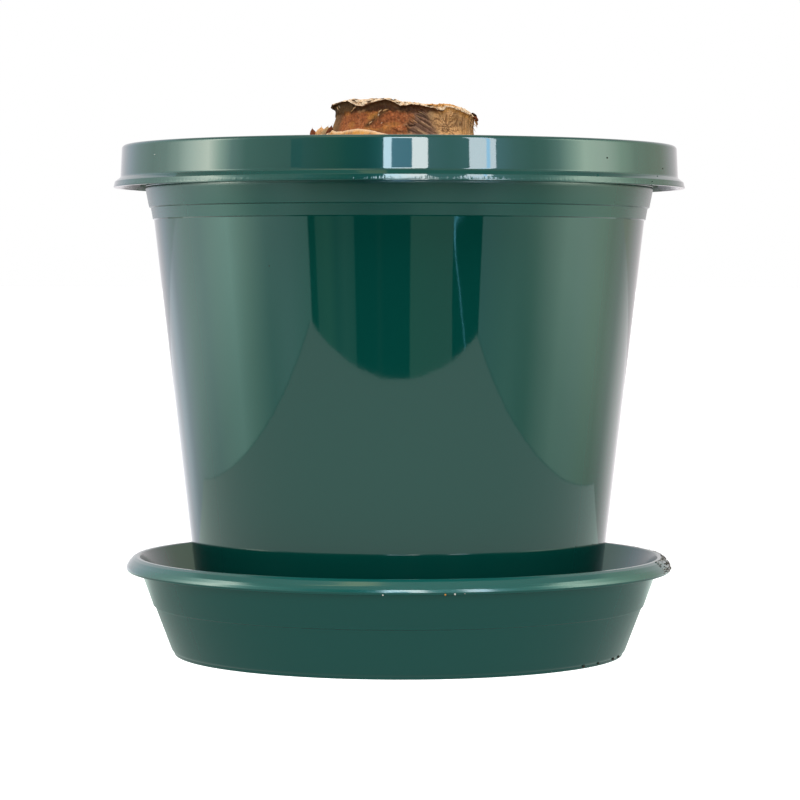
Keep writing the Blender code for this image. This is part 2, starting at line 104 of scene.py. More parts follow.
# The rolled rim, from its crest over the sloping flange to the foot of its nose
SAUCER_RIM = (
    (71.3, 26.5, 0.3), (72.2, 26.0, 0.5), (73.15, 24.9, 1.2), (73.65, 24.0, 0.9), (73.8, 23.3, 0.4),
    (73.55, 22.75, 0.25), (73.1, 22.6, 0),
)
SAUCER_SKIRT_HOLLOW = 2.0
SAUCER_WALL = 1.3
SAUCER_FLOOR = 2.6
FLOOR_FILLET = 1.5
HEEL_FILLET = 1.6
RIB_COUNT = 8
RIB_HEIGHT = 1.6
RIB_WIDTH = 2.4
RIB_INNER_RADIUS = 22.0
RIB_OUTER_RADIUS = 55.5
RIB_SINK = 0.6

# Pot
POT_TOP = 137.1
POT_FOOT = SAUCER_FLOOR + RIB_HEIGHT + SEAT_GAP
POT_WALL = 1.4
BODY_TOP_RADIUS = 66.2
BODY_TAPER = 0.115
LOWER_RING_HEIGHT = 117.25
LOWER_RING_STEP = 0.35
UPPER_RING_HEIGHT = 120.45
UPPER_RING_RADIUS = 67.06
UPPER_RING_STEP = 0.5
COLLAR_HEIGHT = 125.4
COLLAR_STEPS = 12
COLLAR_FOOT_SLOPE, COLLAR_TOP_SLOPE = math.tan(math.radians(11.6)), math.tan(math.radians(10.4))
BAND_TOP_RADIUS = 74.8
BAND_FOOT_RADIUS = 75.2
BAND_FOOT_HEIGHT = 128.5
BAND_FOOT_FILLET = 0.9
BAND_WALL = 1.4
CROWN_FILLET = 1.0
MOUTH_FILLET = 0.9
LIP_RADIUS = 77.1
LIP_SHOULDER_RADIUS = 76.75
LIP_SHOULDER_HEIGHT = 127.3
LIP_HEIGHT = 125.75
LIP_EDGE_FILLET = 0.15
LIP_THICKNESS = 1.3
BASE_PLATE = 1.6
BASE_RECESS = 2.6
DRAIN_COUNT = 8
DRAIN_RADIUS = 4.0
DRAIN_CIRCLE_RADIUS = 38.0
DRAIN_SIDES = 32
NOTCH_COUNT = 4
NOTCH_WIDTH = 12.0
NOTCH_LENGTH = 12.0
NOTCH_HEIGHT = 0.8
CUT_PAST = 1.0


def smooth(low, high, at):
    """0 up to low, 1 from high on, and an even S-curve between. It takes numbers and arrays."""
    share = np.clip((at - low) / (high - low), 0.0, 1.0)
    return share * share * (3 - 2 * share)


def new_collection(name):
    made = bpy.data.collections.new(name)
    bpy.context.scene.collection.children.link(made)
    return made


def rounded(corners):
    """(radius, height) points of an outline of (radius, height, fillet), with an arc at each fillet."""
    points = []
    for i, (r, z, fillet) in enumerate(corners):
        here = Vector((r, z))
        if not fillet:
            points.append((r, z))
            continue
        back = (Vector(corners[i - 1][:2]) - here).normalized()
        ahead = (Vector(corners[i + 1][:2]) - here).normalized()
        opening = back.angle(ahead)
        turn = math.pi - opening
        centre = here + (back + ahead).normalized() * (fillet / math.sin(opening / 2))
        start = here + back * (fillet / math.tan(opening / 2)) - centre
        side = 1 if back.cross(ahead) > 0 else -1
        steps = max(2, round(math.degrees(turn) / FINE_ARC_STEP))
        for k in range(steps + 1):
            spoke = Matrix.Rotation(-side * turn * k / steps, 2) @ start
            points.append(tuple(centre + spoke))
    return points


def with_runs(points):
    """The outline with more points along its long runs, so that smooth shading stays true there."""
    full = [points[0]]
    for (r0, z0), (r1, z1) in zip(points, points[1:]):
        length = math.hypot(r1 - r0, z1 - z0)
        if length > 4 * RUN_END:
            count = max(1, round(length / FINE_RUN))
            shares = [RUN_END / length, *(k / count for k in range(1, count)), 1 - RUN_END / length]
            full += [(r0 + (r1 - r0) * share, z0 + (z1 - z0) * share) for share in shares]
        full.append((r1, z1))
    return full


def realise(obj):
    """Turns the object's modifiers into its mesh."""
    graph = bpy.context.evaluated_depsgraph_get()
    mesh = bpy.data.meshes.new_from_object(obj.evaluated_get(graph))
    obj.modifiers.clear()
    obj.data = mesh
    return obj


def add_object(name, data):
    made = bpy.data.objects.new(name, data)
    bpy.context.scene.collection.objects.link(made)
    return made


def turned(name, outline):
    """The outline of (radius, height), which runs down its outer side, swept round the Z axis."""
    mesh = bpy.data.meshes.new(name)
    points = [(r * MM, 0, z * MM) for r, z in outline]
    mesh.from_pydata(points, [(i, i + 1) for i in range(len(points) - 1)], [])
    obj = add_object(name, mesh)
    screw = obj.modifiers.new("Turn", "SCREW")
    screw.steps = screw.render_steps = FINE_SIDES
    screw.use_merge_vertices = True
    screw.merge_threshold = MERGE
    return realise(obj)


def add_tool(shape, place, turn, collection):
    """Moves a shape to its place, turns it about the Z axis and adds it to the collection."""
    bmesh.ops.translate(shape, vec=Vector(place) * MM, verts=shape.verts)
    bmesh.ops.rotate(shape, matrix=Matrix.Rotation(turn, 3, "Z"), verts=shape.verts)
    mesh = bpy.data.meshes.new("tool")
    shape.to_mesh(mesh)
    shape.free()
    collection.objects.link(bpy.data.objects.new("tool", mesh))


def add_block(size, place, turn, collection):
    shape = bmesh.new()
    bmesh.ops.create_cube(shape, size=MM)
    bmesh.ops.scale(shape, vec=size, verts=shape.verts)
    add_tool(shape, place, turn, collection)


def add_bar(radius, length, place, collection):
    """Adds an upright bar, centred on place."""
    shape = bmesh.new()
    thick = radius * MM
    bmesh.ops.create_cone(
        shape, cap_ends=True, segments=DRAIN_SIDES, radius1=thick, radius2=thick, depth=length * MM,
    )
    add_tool(shape, place, 0, collection)


def combine(obj, others, operation):
    """Joins every object of the collection to obj, or cuts it from obj, and removes the collection."""
    boolean = obj.modifiers.new("Combine", "BOOLEAN")
    boolean.operand_type = "COLLECTION"
    boolean.collection = others
    boolean.operation = operation
    realise(obj)
    for other in list(others.objects):
        bpy.data.objects.remove(other, do_unlink=True)
    bpy.data.collections.remove(others)
    return obj


def dress(obj, material, node, sharp_degrees=SHARP_DEGREES):
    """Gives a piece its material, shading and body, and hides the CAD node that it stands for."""
    obj.data.materials.clear()
    obj.data.materials.append(material)
    obj.data.shade_smooth()
    obj.data.set_sharp_from_angle(angle=math.radians(sharp_degrees))
    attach(obj, "root")
    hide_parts(node)
    return obj


def saucer_outline():
    """Half section of the saucer: floor, inner wall, rolled rim, outer wall and foot ring."""
    heel = SAUCER_FOOT_HEIGHT + DRAFT
    heel_slope = (SAUCER_STEP_RADIUS - SAUCER_HEEL_RADIUS) / (SAUCER_STEP_HEIGHT - heel)
    skirt_foot = SAUCER_HEIGHT - SAUCER_SKIRT_DEPTH
    above_step = SAUCER_STEP_RADIUS + SAUCER_STEP
    step_foot = SAUCER_STEP_HEIGHT - STEP_HALF_HEIGHT
    step_top = SAUCER_STEP_HEIGHT + STEP_HALF_HEIGHT
    upper_slope = (SAUCER_WALL_TOP_RADIUS - above_step) / (skirt_foot - step_top)
    skirt_ceiling = skirt_foot + SAUCER_SKIRT_HOLLOW
    recess = SAUCER_FLOOR - SAUCER_WALL
    foot_inside = SAUCER_FOOT_RADIUS - SAUCER_FOOT_WIDTH
    return with_runs(rounded([
        (0, SAUCER_FLOOR, 0),
        (SAUCER_HEEL_RADIUS + heel_slope * (SAUCER_FLOOR - heel) - SAUCER_WALL, SAUCER_FLOOR, FLOOR_FILLET),
        (SAUCER_STEP_RADIUS - SAUCER_WALL, step_foot, 0),
        (above_step - SAUCER_WALL, step_top, 0),
        (SAUCER_MOUTH_RADIUS, SAUCER_HEIGHT, EDGE_FILLET),
        *SAUCER_RIM,
        (SAUCER_RIM[-1][0] - SAUCER_WALL, skirt_foot + DRAFT, 0),
        (SAUCER_WALL_TOP_RADIUS + upper_slope * SAUCER_SKIRT_HOLLOW + DRAFT, skirt_ceiling, 0),
        (SAUCER_WALL_TOP_RADIUS, skirt_foot, 0),
        (above_step, step_top, 0),
        (SAUCER_STEP_RADIUS, step_foot, 0),
        (SAUCER_HEEL_RADIUS, heel, HEEL_FILLET),
        (SAUCER_FOOT_RADIUS + DRAFT, SAUCER_FOOT_HEIGHT, 0),
        (SAUCER_FOOT_RADIUS, 0, 0),
        (foot_inside, 0, 0),
        (foot_inside - DRAFT, recess, 0),
        (0, recess, 0),
    ]))


def make_saucer(material):
    saucer = turned("saucer_fine", saucer_outline())
    ribs = new_collection("ribs")
    height = RIB_HEIGHT + RIB_SINK
    size = (RIB_OUTER_RADIUS - RIB_INNER_RADIUS, RIB_WIDTH, height)
    place = ((RIB_OUTER_RADIUS + RIB_INNER_RADIUS) / 2, 0, SAUCER_FLOOR + RIB_HEIGHT - height / 2)
    for k in range(RIB_COUNT):
        add_block(size, place, math.tau * (k + 0.5) / RIB_COUNT, ribs)
    combine(saucer, ribs, "UNION")
    return dress(saucer, material, "saucer")


def body_radius(z):
    """Outer radius of the pot's tapered body."""
    return BODY_TOP_RADIUS - BODY_TAPER * (LOWER_RING_HEIGHT - z)


def pot_inner_radius(z):
    return body_radius(z) - POT_WALL


def collar_curve():
    """Points down the wall behind the rim band, which steepens a little towards its top."""
    foot = UPPER_RING_HEIGHT + STEP_HALF_HEIGHT
    reach = COLLAR_HEIGHT - foot
    points = []
    for k in range(COLLAR_STEPS + 1):
        up = reach * (1 - k / COLLAR_STEPS)
        # The mean of an evenly changing slope up to this height has half of its change
        slope = COLLAR_FOOT_SLOPE + (COLLAR_TOP_SLOPE - COLLAR_FOOT_SLOPE) * up / reach / 2
        points.append((UPPER_RING_RADIUS + UPPER_RING_STEP + slope * up, foot + up, 0))
    return points


def pot_outline():
    """Half section of the pot: base, inner wall, rim with its hanging band and lip, outer wall and foot."""
    plate_foot = POT_FOOT + BASE_RECESS
    plate_top = plate_foot + BASE_PLATE
    collar = collar_curve()
    collar_radius = collar[0][0]
    inner_collar = collar_radius - POT_WALL
    band_ceiling = POT_TOP - BAND_WALL
    foot_inside = pot_inner_radius(POT_FOOT) - DRAFT
    return with_runs(rounded([
        (0, plate_top, 0),
        (pot_inner_radius(plate_top), plate_top, FLOOR_FILLET),
        (pot_inner_radius(LOWER_RING_HEIGHT), LOWER_RING_HEIGHT, 0),
        (inner_collar, COLLAR_HEIGHT, 0),
        (inner_collar, POT_TOP, MOUTH_FILLET),
        (BAND_TOP_RADIUS, POT_TOP, CROWN_FILLET),
        (BAND_FOOT_RADIUS, BAND_FOOT_HEIGHT, BAND_FOOT_FILLET),
        (LIP_SHOULDER_RADIUS, LIP_SHOULDER_HEIGHT, LIP_EDGE_FILLET),
        (LIP_RADIUS, LIP_HEIGHT, LIP_EDGE_FILLET),
        (LIP_RADIUS - LIP_THICKNESS, LIP_HEIGHT, 0),
        (BAND_FOOT_RADIUS - BAND_WALL, BAND_FOOT_HEIGHT - DRAFT, 0),
        (BAND_TOP_RADIUS - BAND_WALL, band_ceiling, 0),
        (collar_radius + DRAFT, band_ceiling, 0),
        *collar,
        (UPPER_RING_RADIUS, UPPER_RING_HEIGHT - STEP_HALF_HEIGHT, 0),
        (BODY_TOP_RADIUS + LOWER_RING_STEP, LOWER_RING_HEIGHT + STEP_HALF_HEIGHT, 0),
        (BODY_TOP_RADIUS, LOWER_RING_HEIGHT - STEP_HALF_HEIGHT, 0),
        (body_radius(POT_FOOT), POT_FOOT, EDGE_FILLET),
        (foot_inside, POT_FOOT, 0),
        (foot_inside - DRAFT, plate_foot, 0),
        (0, plate_foot, 0),
    ]))


def make_pot(material):
    pot = turned("pot_fine", pot_outline())
    cutters = new_collection("cutters")
    length = BASE_PLATE + 2 * CUT_PAST
    middle = POT_FOOT + BASE_RECESS + BASE_PLATE / 2
    for k in range(DRAIN_COUNT):
        turn = math.tau * k / DRAIN_COUNT
        x, y = DRAIN_CIRCLE_RADIUS * math.cos(turn), DRAIN_CIRCLE_RADIUS * math.sin(turn)
        add_bar(DRAIN_RADIUS, length, (x, y, middle), cutters)
    size = (NOTCH_LENGTH, NOTCH_WIDTH, NOTCH_HEIGHT + 2 * CUT_PAST)
    place = (body_radius(POT_FOOT), 0, POT_FOOT + NOTCH_HEIGHT / 2 - CUT_PAST)
    for k in range(NOTCH_COUNT):
        add_block(size, place, math.tau * (k + 0.5) / NOTCH_COUNT, cutters)
    combine(pot, cutters, "DIFFERENCE")
    return dress(pot, material, "pot")


# Plastic: colours, roughness, flow streaks on the lip and the satin wall behind the rim band
POT_GREEN = (0.0012, 0.052, 0.042)
# The saucer is the pot's plastic; its green is lighter than the pot's as painted light on the saucer
SAUCER_GREEN_WITH_PAINTED_LIGHT = (0.0012, 0.073, 0.063)
POT_ROUGHNESS, SAUCER_ROUGHNESS = 0.035, 0.15
PLASTIC_IOR = 1.5
STREAK_DEPTH = 0.00009
STREAK_FOOT, STREAK_TOP = 0.1262, 0.1271
EDGE_SPAN = 0.0002
SATIN_FOOT, SATIN_TOP = 0.1174, 0.1256
SATIN_ROUGHNESS = 0.24


class Nodes:
    """The node tree of a material or world, with short calls that add and join nodes."""

    def __init__(self, owner, clear=False):
        self.owner = owner
        owner.use_nodes = True
        self.tree = owner.node_tree
        if clear:
            self.tree.nodes.clear()

    def add(self, kind, links=(), output=0, **settings):
        """Adds a node and gives one of its outputs. links go by input, to a socket or a plain value."""
        node = self.tree.nodes.new(kind)
        for key, value in settings.items():
            setattr(node, key, value)
        for key, value in dict(links).items():
            self.join(value, node.inputs[key])
        return node.outputs[output] if node.outputs else node

    def join(self, value, socket):
        if isinstance(value, bpy.types.NodeSocket):
            self.tree.links.new(value, socket)
        elif isinstance(value, tuple) and socket.type == "RGBA":
            socket.default_value = (*value, 1)
        else:
            socket.default_value = value

    def place(self):
        return self.add("ShaderNodeTexCoord", output="Object")

    def far(self):
        """Distance from the middle."""
        return self.add("ShaderNodeVectorMath", {0: self.place()}, "Value", operation="LENGTH")

    def stretched(self, source, scale):
        return self.add("ShaderNodeMapping", {"Vector": source, "Scale": scale})

    def noise(self, source, scale, detail=4.0, rough=0.5):
        links = {"Vector": source, "Scale": scale, "Detail": detail, "Roughness": rough}
        return self.add("ShaderNodeTexNoise", links, "Fac")

    def ramp(self, source, low, high, to_low=0.0, to_high=1.0):
        """The value moved from low..high to to_low..to_high, and held there."""
        links = {"Value": source, "From Min": low, "From Max": high, "To Min": to_low, "To Max": to_high}
        return self.add("ShaderNodeMapRange", links, "Result", interpolation_type="SMOOTHSTEP")

    def mix(self, share, a, b):
        return self.add("ShaderNodeMix", {0: share, 6: a, 7: b}, 2, data_type="RGBA")

    def times(self, a, b):
        return self.add("ShaderNodeMath", {0: a, 1: b}, operation="MULTIPLY")

    def bump(self, strength, *layers):
        """A normal bent by each (height, distance) in turn."""
        normal = None
        for height, distance in layers:
            links = {"Height": height, "Strength": strength, "Distance": distance}
            if normal is not None:
                links["Normal"] = normal
            normal = self.add("ShaderNodeBump", links, "Normal")
        return normal

    def finish(self, **values):
        """Sets the shader's inputs and gives the material."""
        for key, value in values.items():
            self.join(value, self.tree.nodes["Principled BSDF"].inputs[key.replace("_", " ")])
        return self.owner


def plastic(name, green, roughness, rim=False):
    """Glossy moulded plastic. With a rim it is satin behind the band, and has flow streaks on the lip."""
    n = Nodes(bpy.data.materials.new(name))
    place = n.place()
    layers = [
        (n.noise(n.stretched(place, (1, 1, 0.35)), 55.0, 1.0, 0.3), 0.00002),
        (n.noise(place, 150.0, 1.0, 0.4), 0.000005),
        (n.noise(place, 900.0, 2.0, 0.5), 0.0000012),
    ]
    if rim:
        height = n.add("ShaderNodeSeparateXYZ", {0: place}, "Z")
        rise = n.ramp(height, STREAK_FOOT - EDGE_SPAN, STREAK_FOOT)
        on_lip = n.times(rise, n.ramp(height, STREAK_FOOT, STREAK_TOP, 1.0, 0.0))
        streaks = n.noise(n.stretched(place, (1, 1, 0.04)), 1400.0, 2.0, 0.6)
        layers.append((n.times(streaks, on_lip), STREAK_DEPTH))
        rise = n.ramp(height, SATIN_FOOT - EDGE_SPAN, SATIN_FOOT)
        behind = n.times(rise, n.ramp(height, SATIN_TOP, SATIN_TOP + EDGE_SPAN, 1.0, 0.0))
        roughness = n.ramp(behind, 0.0, 1.0, roughness, SATIN_ROUGHNESS)
    return n.finish(Base_Color=green, Roughness=roughness, IOR=PLASTIC_IOR, Normal=n.bump(1.0, *layers))


# Grown things: noise and meshes that follow formulas
GROWN_SHARP_DEGREES = 70


def lattice(x, y, z, seed):
    """A fixed random value from -1 to 1 for each whole-numbered place."""
    mixed = (x * 374761393 + y * 668265263 + z * 1274126177 + seed * 974634777) & 0xFFFFFFFF
    mixed = ((mixed ^ (mixed >> 13)) * 1103515245) & 0xFFFFFFFF
    return ((mixed ^ (mixed >> 16)) & 0xFFFF) / 32767.5 - 1


def grain(x, y, z, seed=0):
    """Smooth noise from -1 to 1 whose lumps are about one unit wide."""
    x, y, z = np.broadcast_arrays(x, y, z)
    cell = [np.floor(v).astype(np.int64) for v in (x, y, z)]
    share = [v - c for v, c in zip((x, y, z), cell)]
    share = [s * s * (3 - 2 * s) for s in share]
    total = 0
    for i in (0, 1):
        for j in (0, 1):
            for k in (0, 1):
                weight = 1
                for s, corner in zip(share, (i, j, k)):
                    weight = weight * (s if corner else 1 - s)
                total = total + weight * lattice(cell[0] + i, cell[1] + j, cell[2] + k, seed)
    return total


def rough_grain(x, y, z, seed=0, octaves=3):
    """Noise with ever finer lumps on it, about -1 to 1."""
    total = 0
    for k in range(octaves):
        scale = 2.1 ** k
        total = total + 0.55 ** k * grain(x * scale, y * scale, z * scale, seed + k)
    return total


def round_turn(count):
    """Angles of a full turn as a row."""
    return np.linspace(0, math.tau, count, endpoint=False)[None, :]


def column(start, end, count):
    """Even values as a column."""
    return np.linspace(start, end, count)[:, None]


def grid_faces(rows, columns, wrap=True, closed=False):
    """Faces of a grid of points. It wraps round in the columns, and in the rows when closed."""
    index = np.arange(rows * columns).reshape(rows, columns)
    if wrap:
        index = np.concatenate([index, index[:, :1]], axis=1)
    if closed:
        index = np.concatenate([index, index[:1]], axis=0)
    corners = (index[:-1, :-1], index[:-1, 1:], index[1:, 1:], index[1:, :-1])
    return np.stack([c.ravel() for c in corners], axis=1)


def stacked(*coordinates):
    """Points in metres out of coordinates in millimetres."""
    return np.stack(np.broadcast_arrays(*coordinates), axis=-1) * MM


def painted(base, shape, *layers):
    """An array of colours: the base, moved towards each (colour, share) in turn."""
    colour = np.broadcast_to(np.asarray(base), (*shape, 3))
    for other, share in layers:
        share = np.clip(share, 0, 1)[..., None]
        colour = colour * (1 - share) + np.asarray(other) * share
    return colour


def joined(pieces, faces):
    """Points and faces of several pieces that each have these faces."""
    starts = np.arange(len(pieces))[:, None, None] * len(pieces[0])
    return np.concatenate(pieces), (faces + starts).reshape(-1, faces.shape[1])


def grown(name, points, tint, material, node, faces=None):
    """A dressed mesh with a colour at each point. Its faces are a grid's, unless others are given."""
    if faces is None:
        faces = grid_faces(*points.shape[:2])
    mesh = bpy.data.meshes.new(name)
    mesh.from_pydata(points.reshape(-1, 3), [], faces)
    tint = np.clip(tint.reshape(-1, 3), 0, 1)
    colours = np.concatenate([tint, np.ones((len(tint), 1))], axis=1)
    mesh.color_attributes.new("tint", "FLOAT_COLOR", "POINT").data.foreach_set("color", colours.ravel())
    return dress(add_object(name, mesh), material, node, GROWN_SHARP_DEGREES)


# Bulb: half section of its body as (radius, height), from the neck down to the basal plate
BULB_OUTLINE = (
    (19.8, 148.0), (19.6, 146.9), (18.8, 145.6), (19.0, 144.0), (19.6, 142.2), (20.4, 140.0), (22.2, 136.6),
    (25.6, 132.0), (30.2, 126.2), (35.2, 119.0), (39.4, 110.6), (42.3, 101.0), (43.4, 91.0), (42.6, 81.0),
    (39.6, 71.5), (34.4, 63.2), (27.4, 57.0), (21.0, 53.8),
)
AXIS_RADIUS = 0.05
PLATE_OUTLINE = ((19.6, 52.6), (19.0, 49.6), (16.0, 48.0), (8.0, 47.2), (AXIS_RADIUS, 47.2))
NECK_SHIFT = 1.5
NECK_FLATTENING = 0.08
SHIFT_FROM, SHIFT_TO = 122.0, 140.0
SOFTENING = 2.5
BODY_TOP = 114.0
BODY_ROUND = 40
BODY_SIDES, BODY_ROWS = 360, 70

# Neck: radius of its face at the left and right, by height
NECK_FACE = (
    (112.0, 38.8, 38.8), (119.0, 35.2, 35.2), (126.2, 30.2, 30.2), (132.0, 25.6, 25.2), (136.6, 22.2, 20.9),
    (140.0, 20.3, 18.5), (141.5, 19.8, 18.3), (143.1, 19.2, 18.5), (145.0, 18.6, 18.7), (147.2, 18.3, 18.4),
    (150.0, 18.3, 18.2),
)
# Height of the neck's torn top and of the foot of the pale cut, by angle, and how far the cut stands out
NECK_TOP = (
    (0, 145.2), (14, 146.0), (30, 147.0), (60, 146.8), (95, 147.6), (130, 146.8), (160, 147.2), (180, 147.9),
    (187, 148.2), (199, 148.6), (207, 148.9), (212, 149.1), (219, 149.3), (222, 149.4), (228, 149.3),
    (237, 149.2), (244, 149.3), (252, 149.4), (262, 148.9), (268, 148.4), (275, 148.3), (288, 147.8),
    (294, 147.9), (300, 148.0), (311, 148.0), (318, 147.8), (326, 147.4), (334, 146.9), (345, 146.0),
)
CUT_FOOT = (
    (0, 144.9), (14, 145.0), (30, 145.8), (60, 146.2), (95, 146.2), (130, 146.0), (160, 146.4), (180, 147.6),
    (199, 148.4), (212, 148.8), (218, 149.0), (223, 148.2), (228, 147.6), (234, 147.4), (240, 147.9),
    (248, 148.7), (254, 149.0), (260, 148.4), (266, 147.4), (270, 147.3), (275, 147.7), (288, 147.1),
    (302, 146.1), (306, 147.2), (311, 147.1), (321, 146.4), (331, 145.7), (345, 145.0),
)
CUT_REACH = (
    (0, 0.5), (60, 0.8), (120, 0.6), (165, 0.8), (182, 1.9), (192, 1.8), (205, 1.4), (222, 1.4), (250, 1.3),
    (275, 1.2), (292, 0.9), (302, 0.7), (305, 0.4), (340, 0.5),
)
NECK_ROUND = 19.5
NECK_SOFTENING = (-0.8, 0.0, 0.8)
NECK_SIDES = 800
FACE_ROWS = 72
SHOULDER_ROWS = 30
SHOULDER_FOOT = 112.0
FACE_FOOT = 139.0
CUT_ROWS = 10
INSIDE_ROWS = 8
CUT_WIDTH = 1.15
LEAST_CUT = 0.15
VALLEY_DEPTH, VALLEY_WIDTH = 3.0, 1.3
LIP_DROP, LIP_FADE = 0.12, 0.35

CREAM = (0.86, 0.67, 0.46)
OCHRE = (0.62, 0.27, 0.048)
DARK_BROWN = (0.032, 0.011, 0.003)
TERRACOTTA = (0.43, 0.125, 0.036)
RUST = (0.18, 0.045, 0.013)
WARM_BROWN = (0.15, 0.052, 0.014)
GREY_BROWN = (0.155, 0.072, 0.03)
OLIVE = (0.115, 0.054, 0.017)
PURPLE_GREY = (0.25, 0.13, 0.08)
TAN = (0.74, 0.4, 0.165)
PALE_TAN = (0.7, 0.45, 0.22)
SPECK_BROWN = (0.06, 0.03, 0.018)
SPECK_LIGHT = (0.75, 0.5, 0.3)


def round_table(table, degrees):
    """The value at an angle in a table of (angle, value) that goes once round."""
    angles, values = zip(*table)
    return np.interp(degrees % 360, [*angles, 360], [*values, values[0]])


def bulb_radius(z):
    """Radius of the bulb's plain body at a height, with the outline's corners softened."""
    radii, heights = zip(*reversed(BULB_OUTLINE))
    steps = np.linspace(-SOFTENING, SOFTENING, 5)
    return sum(np.interp(np.asarray(z) + step, heights, radii) for step in steps) / len(steps)


def leaning(theta, r, z):
    """The point at that angle, radius and height once the neck is moved to one side and flattened."""
    share = smooth(SHIFT_FROM, SHIFT_TO, z)
    x = r * np.cos(theta) + share * NECK_SHIFT
    y = r * np.sin(theta) * (1 - share * NECK_FLATTENING)
    return stacked(x, y, z)


def neck_radius(theta, z):
    """Radius of the neck's plain face at an angle and height."""
    heights, left, right = zip(*NECK_FACE)
    share = (1 + np.cos(theta)) / 2
    plain = 0
    for step in NECK_SOFTENING:
        at = z + step
        plain = plain + np.interp(at, heights, left) * (1 - share) + np.interp(at, heights, right) * share
    return plain / len(NECK_SOFTENING)


def from_front(degrees):
    """Millimetres round the neck's face, 0 at the front and positive to the right."""
    return (degrees - 270) * math.radians(1) * NECK_ROUND


def window(low, high, edge, at):
    """1 from low to high, falling to 0 over an edge on both sides."""
    return smooth(low - edge, low, at) * (1 - smooth(high, high + edge, at))


def near_line(u, z, start, end, width):
    """1 on the straight line from start to end, and less away from it: about a third at the width."""
    du, dz = end[0] - start[0], end[1] - start[1]
    share = np.clip(((u - start[0]) * du + (z - start[1]) * dz) / (du * du + dz * dz), 0, 1)
    far = np.hypot(u - start[0] - share * du, z - start[1] - share * dz)
    return np.exp(-(far / width) ** 2)


